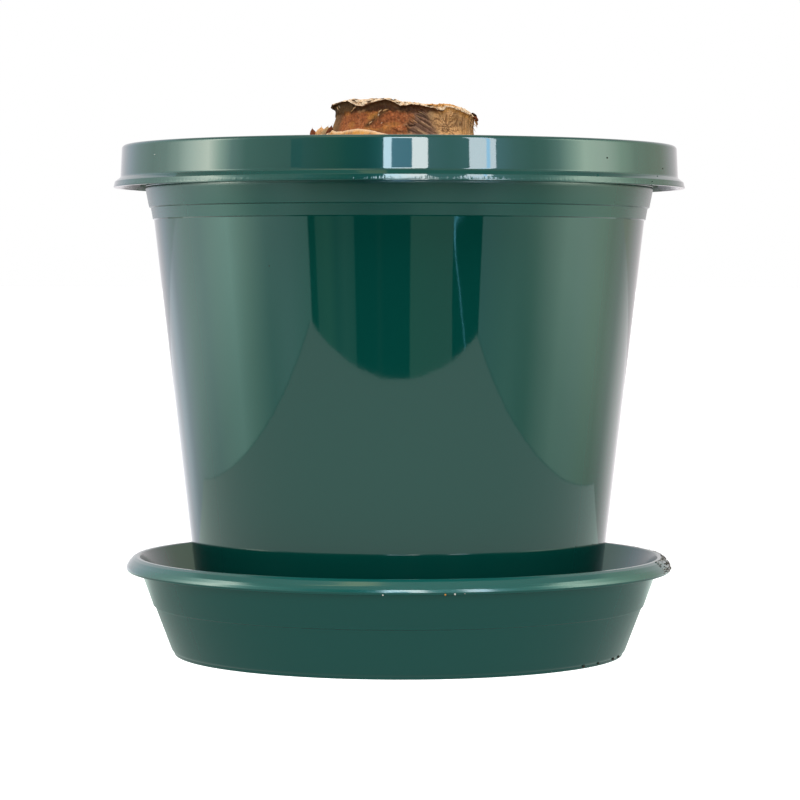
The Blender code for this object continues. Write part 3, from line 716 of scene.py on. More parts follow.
def neck_relief(theta, z):
    """How far the neck's face stands out at an angle and height, and its colour there."""
    degrees = np.degrees(theta) % 360
    u = from_front(degrees)
    torn = rough_grain(u / 1.5, z / 1.5, 0.5, 3)
    fine_torn = rough_grain(u / 0.5, z / 0.5, 1.5, 4)
    depth = round_table(CUT_FOOT, degrees) - z
    back = 1 - smooth(120, 190, degrees) * (1 - smooth(352, 360, degrees))
    # Masks of the regions, from left to right
    flap = window(-32, -16.5, 1.2, u + torn) * smooth(145.1, 146.0, z + 0.5 * torn)
    left = window(-32, -22.5, 4, u + torn) * smooth(0.2, 1.5, depth)
    raised = smooth(-27, -20, u + torn) * (1 - smooth(-0.6, 2.8, u + 1.6 * torn - 0.25 * (z - 143)))
    raised = raised * smooth(0.8, 2.0, depth + 0.5 * torn)
    shadow = window(-17.5, 1.0, 1.5, u) * smooth(145.5, 146.3, z + 0.6 * torn)
    # The wedge: a recess between the two layers of skin, with painted shade in its colour below
    shaded_wedge = window(-1.0, 10.2, 1.2, u) * smooth(145.0, 145.9, z + 0.4 * torn - 0.04 * u)
    folds_end = 6.4 + 0.52 * (145.5 - z) + 0.6 * torn
    past_folds = smooth(folds_end - 1.2, folds_end + 1.2, u)
    folds = smooth(-0.6, 2.4, u + 1.4 * torn) * (1 - past_folds)
    right = past_folds * (1 - back)
    # Patterns
    fibres = grain(u / 0.4 + 0.4 * torn, z / 3.5, 1.0, 5)
    wrinkles = rough_grain(u / 1.3, z / 2.2, 2.0, 8)
    mottle = rough_grain(u / 0.42, z / 0.42, 3.0, 11)
    patches = grain(u / 2.6, z / 1.6, 8.0, 26)
    across, along = u * 0.526 + z * 0.85, u * 0.85 - z * 0.526
    fold_lines = np.abs(grain(across / 0.5 + 0.25 * torn, along / 7.0, 4.0, 14))
    vein_x, vein_z = u - 11.9, z - 141.6
    vein_far = np.hypot(vein_x, vein_z)
    spokes = np.abs(grain(np.arctan2(vein_z, vein_x) * 5.0 + 0.6 * torn, vein_far / 3.0, 5.0, 17))
    uprights = np.abs(grain(u / 0.42 + 0.3 * torn, z / 5.0, 5.5, 18))
    lines = spokes + (uprights - spokes) * smooth(15.5, 18.5, u)
    rings = np.exp(-((vein_far - 1.1) / 0.22) ** 2) + np.exp(-((vein_far - 0.5) / 0.15) ** 2)
    streak = near_line(u + 0.35 * torn, z, (-5.4, 146.2), (-10.3, 142.4), 0.75)
    # Creases: grooves in the relief, with painted shade in their colour below
    shaded_crease = np.max([
        near_line(u, z + 0.2 * torn, (0.1, 141.8), (2.6, 142.0), 0.2),
        near_line(u + 0.2 * torn, z, (0.4, 141.8), (1.1, 140.2), 0.25),
        near_line(u, z + 0.5 * torn, (-3.5, 141.0), (-0.8, 140.4), 0.2) * 0.5,
    ], axis=0)
    relief = sum((
        0.04 * fibres + 0.1 * wrinkles,
        raised * (0.3 + 0.05 * mottle) * (1 - shadow),
        folds * (0.5 * fold_lines - 0.15),
        right * (0.34 * lines - 0.12 + 0.12 * rings),
        flap * (0.3 + 0.12 * np.abs(fibres)),
        -np.maximum(shadow, 0.8 * shaded_wedge) * 0.45 * (1 - flap),
        -0.45 * shaded_crease,
        streak * (0.12 + 0.2 * fine_torn),
        back * 0.12 * np.abs(grain(u / 0.9, z / 6.0, 7.0, 23)),
    ))
    colour = painted(
        TAN, relief.shape,
        (TERRACOTTA, back * (0.55 + 0.4 * wrinkles)),
        (WARM_BROWN, right * smooth(0.24, 0.0, lines) * 0.7),
        (PALE_TAN, right * smooth(0.4, 0.8, lines) * 0.5),
        (OCHRE, right * smooth(0.0, 0.6, patches) * 0.3),
        (OCHRE, window(10, 22, 3, u) * smooth(1.6, 0.5, depth + 0.4 * torn) * 0.7),
        (GREY_BROWN, right * np.clip(rings, 0, 1) * 0.7),
        (PURPLE_GREY, folds),
        (DARK_BROWN, folds * smooth(0.22, 0.0, fold_lines) * 0.8),
        (PALE_TAN, folds * smooth(0.5, 0.85, fold_lines) * 0.35),
        (TERRACOTTA, raised),
        (RUST, raised * smooth(-0.1, 0.7, mottle) * 0.75),
        (OCHRE, raised * smooth(0.25, 0.75, patches) * 0.35),
        (PALE_TAN, raised * smooth(0.62, 0.95, -mottle) * 0.3),
        (WARM_BROWN, raised * smooth(141.6, 140.2, z) * window(-9, 0.5, 2, u) * 0.6),
        (GREY_BROWN, left * 0.75),
        # Painted shade in the wedge between the two layers of skin
        (WARM_BROWN, shaded_wedge * 0.9),
        (DARK_BROWN, shaded_wedge * smooth(0.1, 0.7, mottle) * 0.5),
        (DARK_BROWN, shadow * 0.85),
        (WARM_BROWN, shadow * smooth(0.0, 0.5, mottle) * 0.6),
        (OLIVE, flap),
        (DARK_BROWN, flap * smooth(0.0, 0.7, fibres) * 0.6),
        (OLIVE, streak * 0.9),
        (OCHRE, near_line(u, z, (-8.2, 144.9), (-10.0, 144.2), 0.7) * 0.7),
        # Painted shade in the creases, and the streak's own dark fibres
        (DARK_BROWN, np.maximum(shaded_crease, streak * smooth(0.0, 0.6, fine_torn)) * 0.8),
    )
    shade = 1 + 0.12 * fibres + 0.15 * wrinkles
    return relief, colour * shade[..., None]


def make_neck(material):
    """The neck and shoulder: a fine grid from inside the torn top over the cut and down the face."""
    theta = round_turn(NECK_SIDES)
    degrees = np.degrees(theta)
    along = from_front(degrees)
    jag = 0.24 * rough_grain(np.cos(theta) * 17, np.sin(theta) * 17, 0.5, 31)
    top = round_table(NECK_TOP, degrees) + jag
    foot = np.minimum(round_table(CUT_FOOT, degrees) + 0.6 * jag, top - LEAST_CUT)
    reach = round_table(CUT_REACH, degrees)
    lip = neck_radius(theta, foot) + reach
    # From the valley inside up to the top
    share = column(0, 1, INSIDE_ROWS)
    z_inside = top - VALLEY_DEPTH * (1 - share) ** 1.4
    r_inside = lip - CUT_WIDTH - VALLEY_WIDTH * (1 - share)
    # Over the pale cut, out and down to its lip
    share = column(0, 1, CUT_ROWS + 1)[1:]
    z_cut = top + (foot - top) * share
    r_cut = lip - CUT_WIDTH + CUT_WIDTH * share ** 0.7
    crumbs = rough_grain(along / 0.5, z_cut / 0.4, 0.3, 35)
    pits = smooth(0.12, 0.4, grain(along / 0.8, z_cut / 0.4, 0.6, 39)) * np.sin(math.pi * share) ** 0.7
    pits = pits * window(212, 300, 6, degrees)
    r_cut = r_cut + 0.2 * crumbs - 0.6 * pits
    z_cut = z_cut + 0.14 * crumbs
    # Down the face to the shoulder's foot
    down = column(0, 1, FACE_ROWS + 1)[1:] ** 1.15
    z_face = foot - LIP_DROP + (FACE_FOOT - foot + LIP_DROP) * down
    down = column(0, 1, SHOULDER_ROWS + 1)[1:]
    z_shoulder = FACE_FOOT + (SHOULDER_FOOT - FACE_FOOT) * down + 0 * theta
    z_low = np.concatenate([z_face, z_shoulder])
    relief, colour_low = neck_relief(theta + 0 * z_low, z_low)
    under_lip = np.exp(-(foot - z_low) / LIP_FADE)
    r_low = neck_radius(theta, z_low) + relief + (reach * 0.85 - relief) * under_lip
    z = np.concatenate([z_inside, z_cut, z_low])
    r = np.concatenate([r_inside, r_cut, r_low])
    down = (top - z_cut) / np.maximum(top - foot, 0.1)
    cut = painted(
        CREAM, z_cut.shape,
        (OCHRE, smooth(-0.1, 0.7, crumbs) * 0.55),
        (OCHRE, window(290, 318, 4, degrees) * (1 - smooth(0.3, 0.8, down)) * 0.9),
        (WARM_BROWN, smooth(0.1, 0.8, -crumbs) * 0.5),
        (DARK_BROWN, pits * 0.85),
    )
    # Painted shade: the valley inside the top grows darker the deeper it goes
    inner = painted(TAN, z_inside.shape, (DARK_BROWN, (top - z_inside) / 2.4))
    tint = np.concatenate([inner, cut, colour_low])
    return grown("neck_fine", leaning(theta, r, z), tint, material, "bulb")


# Loose fibres, wisps and flakes on the neck: from, over and to as (angle, height, off the face), half
# width, half thickness and colour
WISPS = (
    ((198, 147.6, 0.9), (201, 147.2, 1.2), (203, 146.4, 0.8), 0.2, 0.08, PALE_TAN),
    ((202, 147.9, 0.8), (204, 147.5, 1.1), (205, 147.0, 0.7), 0.12, 0.07, CREAM),
    ((223, 146.4, 0.6), (225, 146.8, 1.0), (228, 147.4, 0.9), 0.2, 0.08, PALE_TAN),
    ((221, 145.9, 0.6), (223, 146.2, 0.9), (224, 146.5, 0.8), 0.12, 0.06, TAN),
    ((248, 145.1, 0.5), (249, 145.9, 0.9), (252, 146.3, 0.6), 0.17, 0.08, PALE_TAN),
    ((252, 145.9, 0.5), (254, 146.1, 0.9), (257, 146.4, 0.6), 0.15, 0.07, TAN),
    ((248, 144.6, 0.5), (249, 144.9, 0.7), (249, 145.2, 0.5), 0.14, 0.07, CREAM),
    ((241, 142.4, 0.5), (242, 142.9, 0.8), (244, 143.2, 0.5), 0.15, 0.08, PALE_TAN),
    ((251, 142.5, 0.5), (252, 142.7, 0.7), (252, 142.9, 0.5), 0.1, 0.1, CREAM),
    ((281, 145.8, 0.2), (284, 145.2, 0.4), (288, 144.6, 0.2), 0.06, 0.05, PALE_TAN),
    ((279, 144.8, 0.2), (281, 144.3, 0.4), (284, 143.9, 0.2), 0.05, 0.05, TAN),
    ((276, 143.6, 0.2), (278, 143.0, 0.4), (281, 142.6, 0.2), 0.07, 0.05, TAN),
    ((345, 145.9, 0.1), (349, 145.4, 0.7), (352, 144.9, 1.0), 0.45, 0.4, DARK_BROWN),
    ((347, 145.2, 0.3), (350, 144.5, 1.1), (352, 143.7, 1.3), 0.55, 0.45, RUST),
    ((350, 144.2, 0.6), (352, 143.4, 1.3), (353, 142.6, 1.2), 0.3, 0.25, OCHRE),
    ((348, 144.6, 0.2), (351, 143.0, 1.2), (350, 141.6, 1.4), 0.09, 0.08, OCHRE),
    ((346, 143.6, 0.2), (350, 142.6, 0.9), (352, 142.2, 1.6), 0.08, 0.07, TAN),
    ((346, 142.6, 0.1), (350, 141.8, 0.6), (352, 140.8, 0.9), 0.09, 0.07, OCHRE),
    ((343, 141.8, 0.1), (347, 141.0, 0.5), (350, 140.4, 0.5), 0.1, 0.08, TAN),
    ((338, 143.2, 0.1), (344, 142.4, 0.7), (349, 142.5, 1.2), 0.09, 0.07, PALE_TAN),
    ((183, 138.2, 3.4), (182, 140.0, 4.3), (181, 142.4, 5.7), 0.2, 1.0, RUST),
    ((186, 138.0, 2.2), (186, 140.4, 2.6), (186, 142.7, 3.3), 0.22, 1.5, TAN),
    ((187, 138.2, 1.4), (188, 140.6, 1.5), (188, 142.9, 1.6), 0.2, 1.2, PALE_TAN),
    ((190, 138.6, 0.6), (190, 140.6, 0.7), (190, 143.1, 0.7), 0.25, 0.9, RUST),
)
WISP_ROWS, WISP_SIDES = 14, 8


def make_wisps(material):
    """Each wisp is a flat tube along a bent line that narrows to both ends."""
    share = column(0, 1, WISP_ROWS)
    around = round_turn(WISP_SIDES)
    pieces = []
    tints = []
    for k, (start, over, end, half_width, half_thick, colour) in enumerate(WISPS):
        degrees, z, off = (
            (1 - share) ** 2 * a + 2 * share * (1 - share) * b + share**2 * c
            for a, b, c in zip(start, over, end)
        )
        theta = np.radians(degrees)
        r = neck_radius(theta, z) + off
        narrow = np.maximum(1 - np.abs(2 * share - 0.8) ** 3, 0.03)
        ragged = 1 + 0.25 * grain(share * 6, np.cos(around), k * 1.0, 121)
        lean = math.atan2((end[0] - start[0]) * math.radians(1) * NECK_ROUND, end[1] - start[1])
        side = half_width * narrow * ragged * np.cos(around)
        theta = theta + side * math.cos(lean) / r
        z = z - side * math.sin(lean)
        r = r + half_thick * narrow * np.sin(around)
        pieces.append(leaning(theta, r, z).reshape(-1, 3))
        shade = 1 + 0.25 * grain(share * 9, 2 * np.cos(around), k * 1.0, 123)
        tints.append((shade[..., None] * np.asarray(colour)).reshape(-1, 3))
    points, faces = joined(pieces, grid_faces(WISP_ROWS, WISP_SIDES))
    return grown("wisps_fine", points, np.concatenate(tints), material, "bulb", faces)


# Cut scales inside the neck, each a crest at a share of its radius and a drop below the rim
SCALE_CRESTS = ((0.77, 0.9), (0.6, 1.6), (0.43, 2.0), (0.27, 1.6), (0.12, 1.2))
SCALE_DEPTH = 2.2
SCALE_SIDES, SCALE_ROWS = 360, 96
SCALE_REACH = 18.0
SCALE_LEVEL = 147.2
SCALE_FLATTENING = 0.35


def make_scales(material):
    """The cut ends of the bulb's inner scales, which lie in each other inside the neck."""
    theta = round_turn(SCALE_SIDES)
    share = column(1, 0.004, SCALE_ROWS)
    x, y = SCALE_REACH * share * np.cos(theta), SCALE_REACH * share * np.sin(theta)
    at = share + 0.028 * grain(np.cos(theta) * 2.2, np.sin(theta) * 2.2, share * 3, 41)
    height = np.full_like(at, -SCALE_DEPTH)
    crest = np.zeros_like(at)
    for k, (place, drop) in enumerate(SCALE_CRESTS):
        torn = 0.7 * rough_grain(np.cos(theta) * 3.5, np.sin(theta) * 3.5, k + 0.5, 43 + k)
        ridge = np.exp(-((at - place) / 0.034) ** 2)
        height = height + (-drop + torn + SCALE_DEPTH) * ridge
        crest = np.maximum(crest, ridge)
    rim_drop = round_table(NECK_TOP, np.degrees(theta)) - SCALE_LEVEL
    crumbs = rough_grain(x / 0.7, y / 0.7, 0.2, 50)
    z = SCALE_LEVEL + height + rim_drop * share**2 + 0.12 * crumbs - 0.8 * smooth(0.9, 1.0, share)
    squeeze = 1 - SCALE_FLATTENING * (1 - smooth(0.2, 1.0, share))
    points = stacked(x + NECK_SHIFT, y * squeeze * (1 - NECK_FLATTENING), z)
    tint = painted(
        RUST, z.shape,
        # Painted shade between the crests, in the gaps where the scales lie in each other
        (DARK_BROWN, (1 - crest) * 0.8),
        (TAN, smooth(0.3, 0.8, crest)),
        (CREAM, smooth(0.75, 0.98, crest) * (0.75 + 0.25 * crumbs)),
    )
    return grown("scales_fine", points, tint, material, "bulb")


def make_body(material):
    """The bulb's body in the soil, down to its basal plate."""
    theta = round_turn(BODY_SIDES)
    heights = column(BODY_TOP, BULB_OUTLINE[-1][1], BODY_ROWS)
    along = theta * BODY_ROUND
    ribs = grain(along / 3.0, heights / 30, 0.5, 60)
    r = bulb_radius(heights) + 0.22 * ribs + 0.1 * rough_grain(along / 1.2, heights / 4, 0.8, 62)
    plate = np.array(PLATE_OUTLINE)
    r_plate = plate[:, :1] + 0.2 * grain(theta * 9, plate[:, 1:] / 2, 0.1, 65) * (plate[:, :1] > 1)
    z = np.concatenate([heights + 0 * theta, plate[:, 1:] + 0 * theta])
    r = np.concatenate([r, r_plate])
    tint = painted(
        TERRACOTTA, z.shape,
        (RUST, smooth(-0.2, 0.7, rough_grain(along / 4, z / 12, 0.4, 67)) * 0.8),
        (PALE_TAN, smooth(0.3, 0.8, grain(along / 2.2, z / 9, 0.9, 69)) * 0.5),
        (OCHRE, smooth(54.5, 52.0, z)),
    )
    return grown("bulb_fine", leaning(theta, r, z), tint, material, "bulb")


# Roots under the basal plate
ROOT_COUNT = 11
ROOT_RADIUS = 1.9
ROOT_TIP_SHARE = 0.45
ROOT_DROP = 13.0
ROOT_SPREAD = 8.0
ROOT_CIRCLE_RADIUS = 11.5
ROOT_START = 51.0
ROOT_TURN_SPREAD = 0.25
ROOT_LEAST_START, ROOT_LEAST_DROP, ROOT_LEAST_SPREAD = 0.55, 0.6, 0.5
ROOT_SEED = 7
ROOT_SIDES, ROOT_ROWS = 20, 22
ROOT_PALE = (0.6, 0.47, 0.3)
ROOT_MOTTLE = 0.002


def make_roots(material):
    """Fleshy roots that leave the basal plate and bend outwards, each a tapered tube with a round tip."""
    draw = random.Random(ROOT_SEED)
    share = column(0, 1, ROOT_ROWS)
    around = round_turn(ROOT_SIDES)
    tip = np.sqrt(np.maximum(0.0, 1 - (np.maximum(share, 0.9) - 0.9) ** 2 / 0.01))
    plain = ROOT_RADIUS * (1 - (1 - ROOT_TIP_SHARE) * share) * np.maximum(tip, 0.02)
    pieces = []
    for k in range(ROOT_COUNT):
        turn = math.tau * (k + draw.uniform(-ROOT_TURN_SPREAD, ROOT_TURN_SPREAD)) / ROOT_COUNT
        start = ROOT_CIRCLE_RADIUS * draw.uniform(ROOT_LEAST_START, 1)
        drop = ROOT_DROP * draw.uniform(ROOT_LEAST_DROP, 1)
        spread = ROOT_SPREAD * draw.uniform(ROOT_LEAST_SPREAD, 1)
        thick = plain * (1 + 0.08 * grain(np.cos(around) * 1.5, share * 14, k * 1.0, 71))
        lean = np.arctan2(2 * spread * share, drop)
        out = start + spread * share**2 + thick * np.cos(around) * np.cos(lean)
        side = thick * np.sin(around)
        z = ROOT_START - drop * share + thick * np.cos(around) * np.sin(lean)
        x = out * math.cos(turn) - side * math.sin(turn)
        y = out * math.sin(turn) + side * math.cos(turn)
        pieces.append(stacked(x, y, z).reshape(-1, 3))
    points, faces = joined(pieces, grid_faces(ROOT_ROWS, ROOT_SIDES))
    mottle = grain(*(points / ROOT_MOTTLE).T, 73)
    tint = painted(ROOT_PALE, mottle.shape, (OCHRE, 0.4 + 0.4 * mottle))
    return grown("roots_fine", points, tint, material, "bulb", faces)


# Outer tunic: the loose dry skin round the bulb's shoulder. Its torn upper edge goes by angle, height
# and how far it stands off there
TUNIC_THICKNESS = 0.32
TUNIC_GAP = 0.45
TUNIC_FOOT = 106.0
TUNIC_ROUND = 22
TUNIC_LIFT_FROM = 126.0
TUNIC_COLUMNS, TUNIC_ROWS = 720, 36
TUNIC_EDGE = (
    (0, 131, 0.6), (10, 134.5, 1.0), (20, 129, 0.4), (30, 124, 0.2), (35, 118.5, 0.1), (40, 127, 0.3),
    (50, 133, 1.2), (60, 129, 0.5), (70, 136.5, 1.6), (80, 131, 0.6), (90, 134, 0.9), (100, 138.6, 2.0),
    (110, 133, 0.8), (115, 121, 0.2), (120, 130, 0.4), (130, 136, 1.4), (140, 132, 0.7), (150, 138, 1.8),
    (160, 133, 1.2), (168, 137.5, 3.0), (175, 139.6, 4.0), (178, 138.6, 3.4), (182, 138.6, 2.6),
    (186, 139.4, 1.8), (190, 139.8, 1.0), (193, 140.5, 0.7), (197, 140.6, 0.5), (201, 141.2, 0.5),
    (208, 140.8, 0.4), (217, 140.7, 0.4), (226, 141.1, 0.4), (235, 141.2, 0.4), (241, 141.0, 0.4),
    (247, 140.5, 0.3), (252, 140.1, 0.3), (258, 139.6, 0.3), (266, 139.0, 0.2), (272, 137.8, 0.2),
    (280, 134, 0.2), (290, 136, 0.4), (300, 129, 0.2), (305, 120, 0.1), (310, 127, 0.3), (320, 131.5, 0.8),
    (330, 128, 0.4), (340, 135.5, 1.3), (350, 130.5, 0.6),
)


def make_tunic(material):
    """The torn papery skin: an outer and an inner face that meet at a frayed edge."""
    theta = round_turn(TUNIC_COLUMNS)
    degrees = np.degrees(theta)
    across, along = np.cos(theta) * TUNIC_ROUND, np.sin(theta) * TUNIC_ROUND
    frayed = 0.35 * rough_grain(across / 1.1, along / 1.1, 0.5, 81)
    frayed = frayed - 1.1 * smooth(0.45, 0.8, grain(across / 0.7, along / 0.7, 0.8, 84))
    frayed = frayed * (0.35 + 0.65 * (1 - window(196, 262, 6, degrees)))
    top = round_table([(angle, height) for angle, height, _ in TUNIC_EDGE], degrees) + frayed
    stand_off = round_table([(angle, off) for angle, _, off in TUNIC_EDGE], degrees)
    up = column(0, 1, TUNIC_ROWS) ** 0.85
    z = TUNIC_FOOT + (top - TUNIC_FOOT) * up
    free = smooth(TUNIC_LIFT_FROM, np.maximum(top, TUNIC_LIFT_FROM + 1.0), z)
    crinkle = 0.16 * grain(theta * 26, z / 9, 0.5, 87) + 0.09 * rough_grain(theta * 60, z / 4, 0.9, 89)
    plain = np.maximum(neck_radius(theta, z), bulb_radius(z) * (1 - smooth(137, 140, z)))
    inner = plain + TUNIC_GAP + stand_off * free + crinkle
    thick = TUNIC_THICKNESS * (0.55 + 0.45 * (1 - up**6))
    outer = inner + thick
    outer = np.concatenate([outer[:-1], outer[-1:] - thick[-1:] * 0.3])
    points = np.concatenate([leaning(theta, inner[::-1], z[::-1]), leaning(theta, outer, z)])[::-1]
    streaks = rough_grain(theta * 34, z / 7, 0.3, 91)
    angle = degrees + 0 * z
    colour = painted(
        OCHRE, z.shape,
        (TAN, smooth(-0.5, 0.5, streaks) * 0.6),
        (TERRACOTTA, smooth(0.1, 0.8, grain(theta * 14, z / 3, 0.2, 93)) * 0.6),
        (PALE_TAN, smooth(0.3, 0.9, -streaks) * 0.5),
        (WARM_BROWN, smooth(0.2, 0.9, streaks) * 0.5),
        (CREAM, smooth(0.4, 0.1, top - z) * window(190, 262, 4, angle) * 0.65),
        (RUST, window(172, 196, 3, angle) * smooth(0.0, 0.6, streaks) * 0.8),
        (DARK_BROWN, smooth(122, 112, z) * 0.5),
    )
    tint = np.concatenate([colour[::-1], colour])[::-1]
    faces = grid_faces(*points.shape[:2], closed=True)
    return grown("tunic_fine", points, tint, material, "outer_tunic", faces)


def skin(name, roughness=0.7, specks=0.35):
    """Dry grown skin: the tint by formula, finer streaks and specks, and a fine fibrous relief."""
    n = Nodes(bpy.data.materials.new(name))
    place = n.place()
    tint = n.add("ShaderNodeVertexColor", output="Color", layer_name="tint")
    fine = n.noise(place, 2600.0, 5.0, 0.65)
    broad = n.noise(place, 700.0, 3.0, 0.6)
    dark = n.mix(n.ramp(fine, 0.4, 0.62, specks, 0.0), tint, SPECK_BROWN)
    light = n.mix(n.ramp(broad, 0.6, 0.8, 0.0, 0.15), dark, SPECK_LIGHT)
    normal = n.bump(0.8, (fine, 0.00012), (broad, 0.0002))
    return n.finish(Base_Color=light, Roughness=roughness, Specular_IOR_Level=0.07, Normal=normal)


# Soil
SOIL_TOP = 116.0
SOIL_GAP = 0.35
SOIL_TUNIC_GAP = 0.55
SOIL_MOUND = 1.6
SOIL_SIDES, SURFACE_ROWS, HOLE_ROWS, SIDE_ROWS = 480, 64, 26, 12
ROOT_HOLE_RADIUS = 22.5
ROOT_HOLE_FLOOR = 34.0
ROOT_HOLE_CHAMFER = 6.0
TUNIC_HOLE_FOOT = TUNIC_FOOT - 1.0
TUNIC_HOLE_TOP = 110.6
CAD_TUNIC_GAP, CAD_TUNIC_THICKNESS = 0.4, 0.8
SKIN_ROOM = CAD_TUNIC_GAP + CAD_TUNIC_THICKNESS + SOIL_TUNIC_GAP
BULB_ROOM = 0.3
PLATE_ROOM = 0.9
SURFACE_SPAN = 2.5
SOIL_MOUTH = float(bulb_radius(SOIL_TOP)) + SKIN_ROOM
SOIL_WALL = pot_inner_radius(SOIL_TOP) - SOIL_GAP
SOIL_FOOT_CHAMFER = 1.7
SOIL_BROWN = (0.05, 0.03, 0.019)
SOIL_DARK = (0.02, 0.012, 0.008)
# Lumps strewn over it: name, count, seed, sizes, stretch along three axes, how much of their size their
# middle stands out, and their dark and light colours
EVEN = ((0.7, 1.1), (0.7, 1.1), (0.5, 0.9))
CHIP = ((1.2, 2.2), (0.6, 1.0), (0.15, 0.3))
LUMPS = (
    ("granules_fine", 1250, 5, (0.7, 3.4), EVEN, 0.12, SOIL_DARK, (0.1, 0.06, 0.038)),
    ("perlite_fine", 110, 6, (0.8, 2.6), EVEN, 0.2, (0.6, 0.57, 0.52), (0.85, 0.83, 0.8)),
    ("bark_fine", 160, 7, (1.8, 5.0), CHIP, 0.16, (0.07, 0.03, 0.015), (0.24, 0.11, 0.05)),
)
INNER_MARGIN, OUTER_MARGIN = 0.8, 1.2
LUMP_FINENESS = 2
LUMP_WAVES = 1.6
AXIS_OFFSET = (0.01, 0, 0)


def soil_height(x, y):
    """Height of the soil's surface at a place."""
    share = np.clip((np.hypot(x, y) - SOIL_MOUTH) / (SOIL_WALL - SOIL_MOUTH), 0, 1)
    lumps = 1.3 * grain(x / 14, y / 14, 0.5, 101) + 0.8 * grain(x / 5.5, y / 5.5, 0.5, 102)
    crumbs = 0.42 * rough_grain(x / 1.7, y / 1.7, 0.5, 103)
    return SOIL_TOP + SOIL_MOUND * (1 - share) ** 2 + lumps + crumbs


def make_soil(material):
    """The potting mix: its crumbly surface, its outer side and foot, and the hole that holds the bulb."""
    theta = round_turn(SOIL_SIDES)
    hole = [
        (AXIS_RADIUS, ROOT_HOLE_FLOOR), (ROOT_HOLE_RADIUS - ROOT_HOLE_CHAMFER, ROOT_HOLE_FLOOR),
        (ROOT_HOLE_RADIUS, ROOT_HOLE_FLOOR + ROOT_HOLE_CHAMFER),
    ]
    for z in np.linspace(TUNIC_HOLE_FOOT, BULB_OUTLINE[-1][1] + PLATE_ROOM, HOLE_ROWS)[::-1]:
        hole.append((bulb_radius(z) + SOIL_GAP + BULB_ROOM, z))
    for z in (TUNIC_HOLE_FOOT, TUNIC_HOLE_TOP):
        hole.append((bulb_radius(z) + SKIN_ROOM, z))
    base = POT_FOOT + BASE_RECESS + BASE_PLATE + SEAT_GAP
    side_heights = np.linspace(SOIL_TOP - SURFACE_SPAN, base + SOIL_FOOT_CHAMFER, SIDE_ROWS)
    sides = [(pot_inner_radius(z) - SOIL_GAP, z) for z in side_heights]
    sides += [(pot_inner_radius(base) - SOIL_GAP - SOIL_FOOT_CHAMFER, base), (AXIS_RADIUS, base)]
    r = SOIL_MOUTH + (SOIL_WALL - SOIL_MOUTH) * column(0, 1, SURFACE_ROWS) + 0 * theta
    surface = np.stack([r, soil_height(r * np.cos(theta), r * np.sin(theta))])
    below, beside = (np.array(corners).T[..., None] + 0 * theta for corners in (hole, sides))
    r, z = np.concatenate([below, surface, beside], axis=1)[:, ::-1]
    x, y = r * np.cos(theta), r * np.sin(theta)
    shade = rough_grain(x / 2.2, y / 2.2, z / 2.2, 107)
    tint = painted(SOIL_BROWN, z.shape, (SOIL_DARK, 0.5 + 0.5 * shade))
    return grown("soil_fine", stacked(x, y, z), tint, material, "soil")


def small_ball():
    """Points and faces of a small ball of triangles."""
    shape = bmesh.new()
    bmesh.ops.create_icosphere(shape, subdivisions=LUMP_FINENESS, radius=1.0)
    shape.verts.ensure_lookup_table()
    points = np.array([v.co[:] for v in shape.verts])
    faces = np.array([[v.index for v in f.verts] for f in shape.faces])
    shape.free()
    return points, faces


def lump(ball, k, unevenness, seed, axes, draw):
    """The ball made uneven, stretched along its axes and turned at random."""
    x, y, z = ball.T * LUMP_WAVES
    uneven = 1 + unevenness * grain(x + k, y, z, seed)
    angle = draw.uniform(0, math.tau)
    axis = Vector([draw.uniform(-1, 1) for _ in range(3)]) + Vector(AXIS_OFFSET)
    turn = np.array(Matrix.Rotation(angle, 3, axis))
    return (ball * uneven[:, None] * axes) @ turn.T


def make_lumps(name, count, seed, sizes, stretch, sink, dark, light, material):
    """Crumbs, perlite or bark chips strewn over the soil's surface."""
    draw = random.Random(seed)
    ball, faces = small_ball()
    smallest, largest = sizes
    pieces = []
    shares = []
    for k in range(count):
        size = smallest + (largest - smallest) * draw.random() ** 2.5
        nearest = SOIL_MOUTH + INNER_MARGIN + size / 2
        far = math.sqrt(draw.uniform(nearest**2, (SOIL_WALL - OUTER_MARGIN - size) ** 2))
        turn = draw.uniform(0, math.tau)
        x, y = far * math.cos(turn), far * math.sin(turn)
        axes = [size * draw.uniform(*limits) / 2 for limits in stretch]
        made = lump(ball, k, 0.28, 111, axes, draw)
        z = float(soil_height(x, y)) + size * sink
        pieces.append((made + (x, y, z)) * MM)
        shares.append(np.full(len(ball), draw.random()))
    points, faces = joined(pieces, faces)
    shares = np.concatenate(shares)
    tint = painted(dark, shares.shape, (light, shares))
    return grown(name, points, tint, material, "soil", faces)


